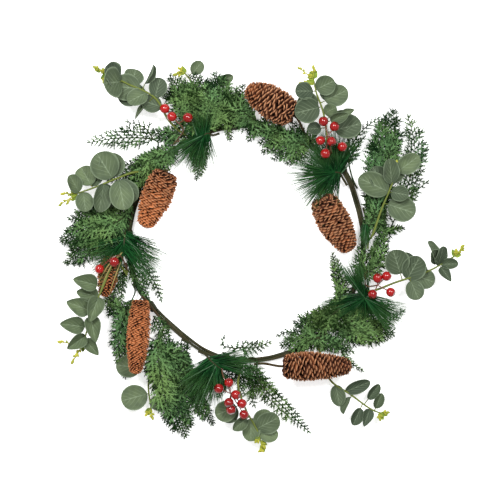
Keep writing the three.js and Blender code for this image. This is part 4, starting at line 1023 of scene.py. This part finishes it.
def add_berries(pile, draw, node, seat, hub, berries):
    tree, curve = main_stem(node, seat, hub)
    add_rod(pile, curve, 1.3, 1.0, tone=0.3)
    fork = curve[-1]
    for x, y, z in berries:
        top = nearest_top(tree, *at(x, y)[:2], z + BERRY_RADIUS)
        centre = at(x, y, top[0] - BERRY_RADIUS + 0.2 if top else z)
        middle = (fork + centre) / 2
        middle[2] = min(fork[2], centre[2])
        add_rod(pile, curve_through([fork, middle, centre], 20), 0.9, 0.8, tone=0.8)
        out = unit(centre - fork) + draw.uniform(-0.35, 0.35, 3) + (0, 0, 0.35)
        size = BERRY_RADIUS * draw.uniform(0.95, 1.02)
        place = frames(centre, out, (0.1, 0.3, 1), (size * 1.03, size, size))
        pile.add(berry_shape, place, 0, draw.uniform(0.2, 0.9))


berry_finish = Finish("glossy_berry", Specular_IOR_Level=0.3, Coat_Weight=0.6, Coat_Roughness=0.03)
part, tone, along = berry_finish.facts("part", "tone", "along")
skin = tone.mix((0.17, 0.001, 0.001), (0.35, 0.002, 0.002))
spotted = along.ramp(0.985, 90.0).mix(skin, (0.04, 0.006, 0.004))
wire = tone.mix((0.07, 0.045, 0.02), (0.12, 0.02, 0.012))
berry_finish.look(part.above(0.5).mix(spotted, wire), 0.2)
dress(BERRIES, add_berries, "_bunch", berry_finish, 60)

# %% [markdown]
# Pine needles are long, stiff and fine, and hundreds of them burst out of one short twig. One needle is a thin
# three-sided spike, copied along the twig into fans. The list gives where each tuft is bound on, the way of
# its twig, and its fans: two directions in degrees, the shortest and longest needle in units of the front
# view, and, where a fan lies low or stands up, two slopes. A few longer pale needles stray from the rest.

# %% Pine tufts
PINE = {
    "pine_upper_left": ((214, 129), ((207, 133, 20), (196, 142, 20)),
        ((195, 290, 20, 36), (75, 150, 14, 24))),
    "pine_left": ((129, 233), ((124, 242, 22), (123, 254, 24)),
        ((188, 245, 28, 44), (295, 350, 30, 46), (240, 268, 14, 34, (-0.1, 0.4)))),
    "pine_upper_right": ((347, 181), ((338, 172, 22), (326, 176, 24)),
        ((165, 265, 26, 44), (88, 150, 16, 26), (50, 118, 24, 50, (-0.3, 0)), (100, 165, 22, 42, (-0.3, 0)))),
    "pine_right": ((352, 293), ((364, 298, 24), (372, 303, 26)),
        ((95, 135, 26, 40), (302, 355, 26, 42), (184, 215, 30, 52, (-0.45, -0.12)),
         (215, 300, 14, 26, (-0.5, -0.2)))),
    "pine_bottom": ((203, 353), ((211, 361, 24), (220, 368, 26)),
        ((205, 280, 26, 40), (-20, 18, 28, 44), (268, 310, 18, 30, (-0.45, -0.1)),
         (222, 262, 34, 54, (-0.3, 0.1)))),
    "pine_right_ring": ((361, 212), ((366, 222, 20), (366, 229, 20)),
        ((245, 290, 12, 20),)),
}
USUAL_SLOPES = (-0.16, 0.5)
NEEDLES_PER_DEGREE = 3.6
LEAST_NEEDLES = 60
NEEDLE_ROOTS = (0.42, 1.0)  # the part of a twig that needles grow from
NEEDLE_WIDTH = 1.2
STRAY_SHARE = 0.07
STRAY_GROWTH, STRAY_EXTRA = 1.12, 6
LOWEST_NEEDLE = 2.0
needle_obj = start(bpy.ops.mesh.primitive_cone_add, vertices=3, radius1=0.5, radius2=0.12, depth=1)
cut_rings(needle_obj, 2)
needle_shape = as_shape(move(needle_obj, lambda p: Vector((p.z + 0.5, p.x, p.y))))


def upright(draw, number, spread):
    """Directions that lean a little to all sides of straight up."""
    return np.stack([draw.normal(0, spread, number), draw.normal(0, spread, number), np.ones(number)], 1)


def add_pine(pile, draw, node, seat, twig, fans):
    _, curve = main_stem(node, seat, twig)
    add_rod(pile, curve, *STEM_RADII, tone=0.3)
    for first, last, short, long, *slopes in fans:
        number = int((last - first) * NEEDLES_PER_DEGREE) + LEAST_NEEDLES
        off = draw.uniform(-0.5, 0.5, number) + draw.normal(0, 0.05, number)
        heading = math.radians((first + last) / 2) + off * math.radians(last - first)
        pitch = draw.uniform(*(slopes[0] if slopes else USUAL_SLOPES), number)
        length = draw.uniform(short, long * 1.05, number) * GRID
        stray = draw.random(number) < STRAY_SHARE
        length = np.where(stray, length * STRAY_GROWTH + STRAY_EXTRA, length)
        root = spot(curve, draw.uniform(*NEEDLE_ROOTS, number))[0]
        ahead = np.stack([np.cos(heading) * np.cos(pitch), np.sin(heading) * np.cos(pitch), np.sin(pitch)], 1)
        fall = np.maximum(-ahead[:, 2] * length, 1e-6)
        room = np.where(root[:, 2] - fall < LOWEST_NEEDLE, (root[:, 2] - LOWEST_NEEDLE) / fall, 1.0)
        length = length * np.clip(room, 0.3, 1)
        sizes = np.stack([length, np.full(number, NEEDLE_WIDTH), np.full(number, NEEDLE_WIDTH)], 1)
        place = frames(root, ahead, upright(draw, number, 0.5), sizes)
        pile.add(needle_shape, place, 0, draw.uniform(0, 1, number) ** 1.3 + stray)


pine_finish = Finish("pine_needle", Specular_IOR_Level=0.08)
part, tone, along = pine_finish.facts("part", "tone", "along")
# Painted shade and highlight: needles are near black at their roots in the dense heart of the tuft and lighter at
# their tips.
painted_root_shade = tone.clamped().mix((0.0012, 0.011, 0.0032), (0.013, 0.086, 0.021))
highlighted_tips = (along.ramp(0.4, 1.6) * 0.8).mix(painted_root_shade, (0.048, 0.122, 0.032))
strayed = (tone.ramp(1.0, 3.0) * 0.7).mix(highlighted_tips, (0.12, 0.2, 0.12))
pine_finish.look(part.above(0.5).mix(strayed, (0.03, 0.028, 0.012)), 0.32 + 0.2 * tone)
dress(PINE, add_pine, "_needles", pine_finish, 60)

# %% [markdown]
# Cedar is flat feathery foliage. Its smallest part is a leaflet like a grain of rice, which hugs a hair-thin
# twig in pairs. The leaflet starts as a three-sided cone whose base is drawn out and merged to a point.
# Leaflets make a branchlet, and branchlets make a frond. A branchlet keeps how far along its own leaflet each
# point lies, so that every leaflet can be painted dark at its root, as the shade between the leaflets near the
# twig, and light at its tip.

# %% Cedar leaflet and branchlets
leaflet_obj = start(bpy.ops.mesh.primitive_cone_add, vertices=3, radius1=0.5, radius2=0, depth=0.62)
pick(leaflet_obj, lambda p: p.z < -0.3)
bpy.ops.mesh.extrude_region_move(TRANSFORM_OT_translate={"value": (0, 0, -0.38)})
bpy.ops.mesh.merge(type="CENTER")
leaflet = as_shape(move(leaflet_obj, lambda p: Vector((p.z + 0.69, p.x * 0.48, p.y * 0.3))))
print("faces of one leaflet:", len(leaflet.totals))
TWIG_LEAN = 0.72


class Bunch(Pile):
    """A pile that becomes a shape, to be copied in its turn."""

    inside = False

    def shape(self):
        made = Shape(np.concatenate(self.points), np.concatenate(self.loops), np.concatenate(self.totals))
        made.along = np.concatenate(self.facts)[:, ALONG]
        return made


def branchlet(length, pitch, leaf, twigs=()):
    """A twig along X with pairs of leaflets, an end leaflet, and side twigs as (place, hand, branchlet)."""
    bunch = Bunch()
    add_rod(bunch, np.array([[0, 0, 0], [length * 0.5, 0, 0.2], [length, 0, 0]]), 0.8, 0.5, kind="hair")
    # The twig takes a middle place in the leaflets' painted root shade.
    bunch.facts[-1][:, ALONG] = 0.4
    number = int(length / pitch)
    for i in range(number):
        for hand in (-1, 1):
            lean = 0.6 + 0.14 * math.sin(3 * i + hand)
            ahead = (math.cos(lean), hand * math.sin(lean), 0.2 * math.sin(5 * i + 2 * hand))
            place = frames(((i + 0.5) * pitch, 0, 0.1), ahead, sizes=leaf * (1.1 - 0.4 * i / number))
            bunch.add(leaflet, place)
    bunch.add(leaflet, frames((length * 0.95, 0, 0), (1, 0, 0), sizes=leaf * 0.8))
    for share, hand, smaller in twigs:
        ahead = (math.cos(TWIG_LEAN), hand * math.sin(TWIG_LEAN), 0.16 * hand)
        bunch.add(smaller, frames((length * share, 0, 0), ahead))
    return bunch.shape()


tiny = branchlet(6.0, 2.5, 3.0)
short = branchlet(10.0, 2.7, 3.3)
middling = branchlet(16.0, 2.9, 3.5, [(0.35, 1, tiny), (0.6, -1, tiny)])
full = branchlet(24.0, 3.1, 3.7, [(0.22, 1, tiny), (0.36, -1, short), (0.54, 1, short), (0.7, -1, tiny)])
BRANCHLETS = ((6.0, tiny), (10.0, short), (16.0, middling), (24.0, full))
SIZE_LIMITS = (8, 13, 20)  # the reach from which the next larger branchlet is used
print("faces of the branchlets:", [len(shape.totals) for _, shape in BRANCHLETS])

# %% [markdown]
# A frond is a dark stalk with branchlets in two rows that lean forward and shorten towards the tip. Airy fronds
# are one layer with daylight between the branchlets, and the finest are thinner still. The thick sprays are the
# same frond in three layers: a dense one below, painted dark as the shade under the others, and sparser ones
# painted lighter, as lit from above, that are swung a little to either side. Low dark filling fronds close the
# gaps between neighbouring sprays. The list gives each spray's kind, where it is bound on, its fronds and then its
# filling fronds. A frond is its half width and the way of its stalk, and all but the first fork from the first
# one's stalk.

# %% Cedar fronds
CEDAR = {
    "cedar_upper_left": ("fine", (171, 152),
        ((11, (158, 142, 14), (122, 138, 14), (85, 143, 10)), (8, (145, 128, 16), (124, 121, 12)))),
    "cedar_upper_left_b": ("thick", (190, 139),
        ((12, (182, 135, 14), (168, 135, 16), (148, 131, 12)),)),
    "cedar_over_cone": ("thick", (177, 147),
        ((12, (162, 158, 18), (142, 164, 15), (121, 164, 10)),
         (10, (152, 160, 12), (136, 180, 8), (124, 190, 6))),
        ((7, (150, 160, 14), (143, 172, 14), (137, 187, 14), (133, 200, 13)),
         (8, (154, 158, 12), (136, 172, 10), (108, 180, 8)),
         (7, (146, 168, 12), (128, 186, 8), (104, 196, 6)))),
    "cedar_inner_top_left": ("thick", (205, 132),
        ((9, (201, 146, 12), (199, 164, 10), (196, 182, 6)),)),
    "cedar_top_a": ("thick", (200, 135),
        ((17, (192, 116, 18), (178, 98, 22), (160, 92, 18)), (14, (182, 92, 20), (168, 73, 16)))),
    "cedar_top_b": ("thick", (213, 130),
        ((18, (208, 112, 20), (201, 92, 24), (192, 72, 18)),
         (8, (222, 118, 16), (229, 132, 10), (230, 143, 6)))),
    "cedar_top_c": ("thick", (229, 127),
        ((17, (224, 108, 20), (217, 88, 22), (213, 70, 16)), (14, (240, 102, 20), (243, 82, 18)))),
    "cedar_top_d": ("thick", (262, 127),
        ((15, (250, 118, 16), (234, 112, 26), (216, 112, 28)), (8, (254, 132, 12), (247, 143, 8)))),
    "cedar_top_e": ("thick", (290, 134),
        ((13, (275, 130, 14), (262, 128, 14), (243, 130, 14)), (10, (275, 142, 12), (260, 154, 8)))),
    "cedar_top_f": ("thick", (318, 149),
        ((12, (300, 142, 18), (280, 140, 18), (256, 143, 12)), (11, (292, 150, 14), (270, 160, 8)),
         (9, (300, 156, 12), (284, 164, 8))),
        ((8, (317, 148, 12), (307, 137, 10), (292, 121, 8)),
         (9, (319, 149, 10), (314, 138, 9), (318, 126, 8)))),
    "cedar_upper_right": ("fine", (343, 176),
        ((7, (349, 156, 14), (359, 134, 14), (382, 115, 10)), (6, (356, 148, 12), (367, 134, 10)),
         (8, (352, 160, 10), (360, 152, 8))),
        ((9, (343, 172, 10), (339, 156, 10), (331, 139, 8)),)),
    "cedar_right_a": ("thick", (364, 252),
        ((16, (374, 225, 12), (380, 180, 14), (394, 106, 10)), (10, (382, 230, 12), (407, 227, 8)))),
    "cedar_right_b": ("fine", (361, 270),
        ((12, (384, 240, 8), (407, 190, 8), (416, 150, 8), (408, 112, 6)),
         (9, (412, 170, 6), (428, 147, 5)), (9, (414, 192, 6), (431, 179, 5)))),
    "cedar_right_c": ("thick", (363, 234),
        ((9, (371, 222, 18), (375, 200, 20), (373, 164, 14)),)),
    "cedar_right_inner": ("thick", (355, 287),
        ((10, (371, 270, 14), (380, 250, 14), (384, 222, 10)), (9, (362, 268, 20), (362, 240, 16)))),
    "cedar_lower_right_a": ("thick", (347, 305),
        ((8, (342, 292, 16), (337, 272, 12), (332, 251, 8)),)),
    "cedar_lower_right_e": ("airy", (344, 311),
        ((9, (358, 320, 12), (380, 326, 10), (407, 309, 8)),)),
    "cedar_lower_right_b": ("thick", (341, 314),
        ((16, (350, 324, 14), (368, 331, 14), (397, 333, 8)),
         (14, (351, 318, 26), (356, 310, 33), (360, 300, 31)), (11, (346, 336, 10), (368, 344, 8)))),
    "cedar_lower_right_c": ("thick", (350, 298),
        ((15, (338, 310, 22), (320, 322, 22), (292, 324, 14)), (10, (342, 300, 16), (322, 312, 10))),
        ((13, (345, 304, 20), (340, 322, 20), (338, 346, 12)),
         (11, (340, 308, 26), (328, 318, 27), (306, 330, 16)),
         (4, (304, 338, 16), (290, 332, 15), (278, 336, 12)),
         (2.5, (292, 335, 14), (296, 329, 14), (303, 323, 13)))),
    "cedar_lower_right_d": ("thick", (325, 330),
        ((13, (310, 338, 18), (296, 344, 16), (278, 346, 12)), (11, (318, 340, 12), (345, 346, 10))),
        ((9, (318, 332, 16), (330, 344, 14), (350, 348, 10)),
         (8, (326, 332, 14), (318, 345, 13), (300, 352, 10)),
         (8, (330, 336, 12), (340, 350, 10), (353, 352, 8)),
         (4, (341, 352, 10), (351, 363, 9), (363, 371, 8)))),
    "cedar_bottom": ("airy", (224, 359),
        ((10, (238, 348, 14), (254, 348, 12), (273, 341, 8)), (3, (222, 345, 12), (225, 334, 8)))),
    "cedar_bottom_right": ("airy", (250, 361),
        ((9, (258, 380, 16), (282, 406, 14), (312, 435, 8)), (8, (262, 378, 14), (278, 396, 10)),
         (12, (250, 388, 12), (256, 410, 10))),
        ((9, (240, 366, 10), (226, 380, 8), (218, 398, 6)),
         (12, (250, 364, 12), (257, 382, 12), (264, 398, 10)),
         (9, (246, 364, 12), (244, 380, 10), (240, 396, 8)))),
    "cedar_lower_left_a": ("thick", (153, 315),
        ((16, (159, 340, 20), (166, 385, 20), (187, 440, 10)), (11, (178, 352, 14), (190, 380, 10))),
        ((9, (153, 316, 12), (162, 332, 12), (170, 350, 10)),)),
    "cedar_lower_left_b": ("thick", (185, 344),
        ((10, (184, 362, 12), (195, 396, 10), (214, 428, 6)), (12, (172, 360, 16), (158, 372, 12)))),
    "cedar_left_low": ("thick", (137, 288),
        ((10, (130, 304, 14), (121, 335, 12), (125, 381, 6)), (11, (116, 308, 12), (103, 290, 8))),
        ((4, (124, 262, 16), (122, 285, 14), (120, 306, 10)),
         (6, (126, 272, 14), (114, 290, 12), (108, 316, 9)))),
    "cedar_left_inner": ("airy", (130, 265),
        ((9, (142, 268, 12), (154, 282, 10), (162, 304, 6)), (8, (142, 280, 8), (149, 298, 6))),
        ((5, (127, 262, 14), (133, 276, 14), (141, 289, 14), (149, 300, 13)),)),
    "cedar_left_a": ("thick", (129, 225),
        ((15, (112, 226, 16), (88, 232, 16), (57, 243, 8)), (13, (98, 242, 12), (80, 254, 9), (62, 265, 6)))),
    "cedar_left_b": ("thick", (133, 212),
        ((13, (118, 212, 14), (96, 214, 14), (66, 220, 8)),)),
}
FORKS = (0.3, 0.35, 0.4)  # the shares of the first frond's way where the next ones fork off
LATE_FORKS = {"cedar_right_b": (0.6, 0.5)}
BARE_STALK = {"thick": 0.16, "airy": 0.3, "fine": 0.3}
FROND_SHARE = 0.92
LAYERS = {
    "airy": {"tone": 0.35, "pitch": 6.2, "lean": (0.8, 1.05), "thick": 1.35},
    "fine": {"tone": 0.4, "pitch": 7.6, "lean": (0.62, 0.85), "thick": 1.0},
    "filling": {"tone": 0.3, "pitch": 4.6, "lean": (0.55, 0.9)},
}
# The lowest layer's low tone is painted shade beneath the others, and the top layer's high tone paints it as lit.
THICK_LAYERS = (  # turn, lift, share of the length and of the width, and how it is set with branchlets
    (0.0, -2.5, 1.0, 1.0, {"tone": -0.05, "pitch": 4.4, "lean": (0.6, 0.9)}),
    (0.2, 1.5, 0.88, 0.85, {"tone": 0.55, "pitch": 6.4, "lean": (0.55, 0.85)}),
    (-0.18, 5.5, 0.82, 0.78, {"tone": 1.0, "pitch": 8.2, "lean": (0.5, 0.8)}),
)
TAPER_AT = (0, 12, 34, 62)
TAPER_SHARE = (0.1, 0.28, 0.72, 1.0)
BARE_TIP = 5
SHORT_FROND = 24
LOWEST_LAYER = 2.6


def add_frond(pile, draw, curve, half_width, tone, pitch, lean, thick=1.1):
    length = length_of(curve)
    add_rod(pile, curve, 1.1, 0.6, tone=tone)
    number = max(3, int(length / pitch))
    for hand in (-1, 1):
        share = (np.arange(number) + 0.35 + 0.25 * hand + draw.uniform(-0.15, 0.15, number)) / number
        share = np.clip(share, 0, 0.985)
        point, way = spot(curve, share)
        side = unit(np.cross(way, UP))
        angle = draw.uniform(*lean, number)
        ahead = way * np.cos(angle)[:, None] + side * (hand * np.sin(angle))[:, None]
        ahead[:, 2] += draw.uniform(-0.2, 0.24, number)
        wide = half_width * np.interp((1 - share) * length, TAPER_AT, TAPER_SHARE) * np.minimum(1, 0.6 + 3 * share)
        reach = (2.0 + wide * draw.uniform(0.75, 1.1, number)) / np.sin(angle)
        kind = np.searchsorted(SIZE_LIMITS, reach, side="right")
        for i, (size, branch) in enumerate(BRANCHLETS):
            here = kind == i
            if not here.any():
                continue
            grow = reach[here] / size
            sizes = np.stack([grow, np.clip(grow, 0.85, 1.1) * thick, np.full(here.sum(), thick)], 1)
            up = upright(draw, here.sum(), 0.3)
            tones = tone + draw.uniform(-0.45, 0.45, here.sum())
            pile.add(branch, frames(point[here], ahead[here], up, sizes), 0, tones)
    end, way = spot(curve, 1.0)
    pile.add(tiny, frames(end - way * 3, way), 0, tone + 0.1)


def turned(curve, turn, lift, share):
    """The curve swung about its start, lifted and shortened, for another layer of the same spray."""
    arm = stretch(curve, 0.0, share, len(curve)) - curve[0]
    c, s = math.cos(turn), math.sin(turn)
    arm = np.stack([arm[:, 0] * c - arm[:, 1] * s, arm[:, 0] * s + arm[:, 1] * c, arm[:, 2]], 1)
    arm[:, 2] += lift * np.sin(np.linspace(0, math.pi * 0.8, len(arm)))
    arm += curve[0]
    arm[:, 2] = np.maximum(arm[:, 2], LOWEST_LAYER)
    return arm


def add_cedar(pile, draw, node, kind, seat, fronds, filling=()):
    (main_width, *main_way), *forks = fronds
    tree, whole = main_stem(node, seat, main_way)
    bare = BARE_STALK[kind]
    add_rod(pile, stretch(whole, 0, bare + 0.06), 1.5, 1.1, tone=0.3)
    ways = [(stretch(whole, bare, 1 - BARE_TIP / length_of(whole)), main_width)]
    for (width, *way), share in zip(forks, LATE_FORKS.get(node, FORKS)):
        fork = curve_through([spot(whole, share)[0][0], *settle(tree, [at(*p) for p in way])], 60)
        ways.append((stretch(fork, 0, 1 - BARE_TIP / length_of(fork)), width))
    for width, *way in filling:
        add_frond(pile, draw, curve_through([at(*p) for p in way], 60), width * GRID, **LAYERS["filling"])
    for curve, width in ways:
        reach = width * GRID * FROND_SHARE
        if kind != "thick" or length_of(curve) < SHORT_FROND:
            add_frond(pile, draw, curve, reach, **LAYERS["airy" if kind == "thick" else kind])
            continue
        swing = (1 if draw.random() < 0.5 else -1) * min(1, 3 * reach / length_of(curve))
        for turn, lift, share, wide, layer in THICK_LAYERS:
            add_frond(pile, draw, turned(curve, swing * turn, lift, share), reach * wide, **layer)


# %% [markdown]
# Cedar is a warm mid green that shifts between blue-green and yellow-green along the wreath. A leaflet is painted
# dark at its root, as the shade between the leaflets, and pale at its tip. Each layer's tone paints the lower
# layers of a spray in shade and the top one lit, and a fine speckle tells neighbours apart. Stalks are dark olive.

# %% Cedar finish
cedar_finish = Finish("cedar_leaf", Specular_IOR_Level=0.06)
part, tone, along = cedar_finish.facts("part", "tone", "along")
drift = cedar_finish.noise(16.0, 2.0)
speckle = cedar_finish.noise(330.0, 2.0)
hue = drift.ramp(0.35, 3.3)
dark_leaf = hue.mix((0.0025, 0.017, 0.004), (0.007, 0.022, 0.002))
light_leaf = hue.mix((0.104, 0.218, 0.084), (0.146, 0.244, 0.076))
# Painted shade and light: the layer's tone and the leaflet's root-to-tip place set how light a leaflet is, with
# random speckle.
light = (tone * 0.85 + along * 0.9 + (speckle - 0.5) * 2.4 - 0.5).clamped()
stalk = (along * 2.5).clamped().mix((0.028, 0.03, 0.012), (0.018, 0.036, 0.012))
cedar_finish.look(part.above(0.5).mix(light.mix(dark_leaf, light_leaf), stalk), 0.45 + 0.2 * drift)
dress(CEDAR, add_cedar, "_fronds", cedar_finish, 30)

# %% [markdown]
# The dressed wreath must fill the solids' box and not leave it, so the solids' box is printed with the count of
# triangles.

# %% Sizes and finish
triangles = {piece.name: sum(len(f.vertices) - 2 for f in piece.data.polygons)
             for piece in bpy.data.objects if piece.type == "MESH" and not piece.hide_render}
print("triangles:", sum(triangles.values()), "most in one piece:", max(triangles.values()))
print("box of the solids:", [round(1000 * v, 1) for v in (*cad_low, *cad_high)])
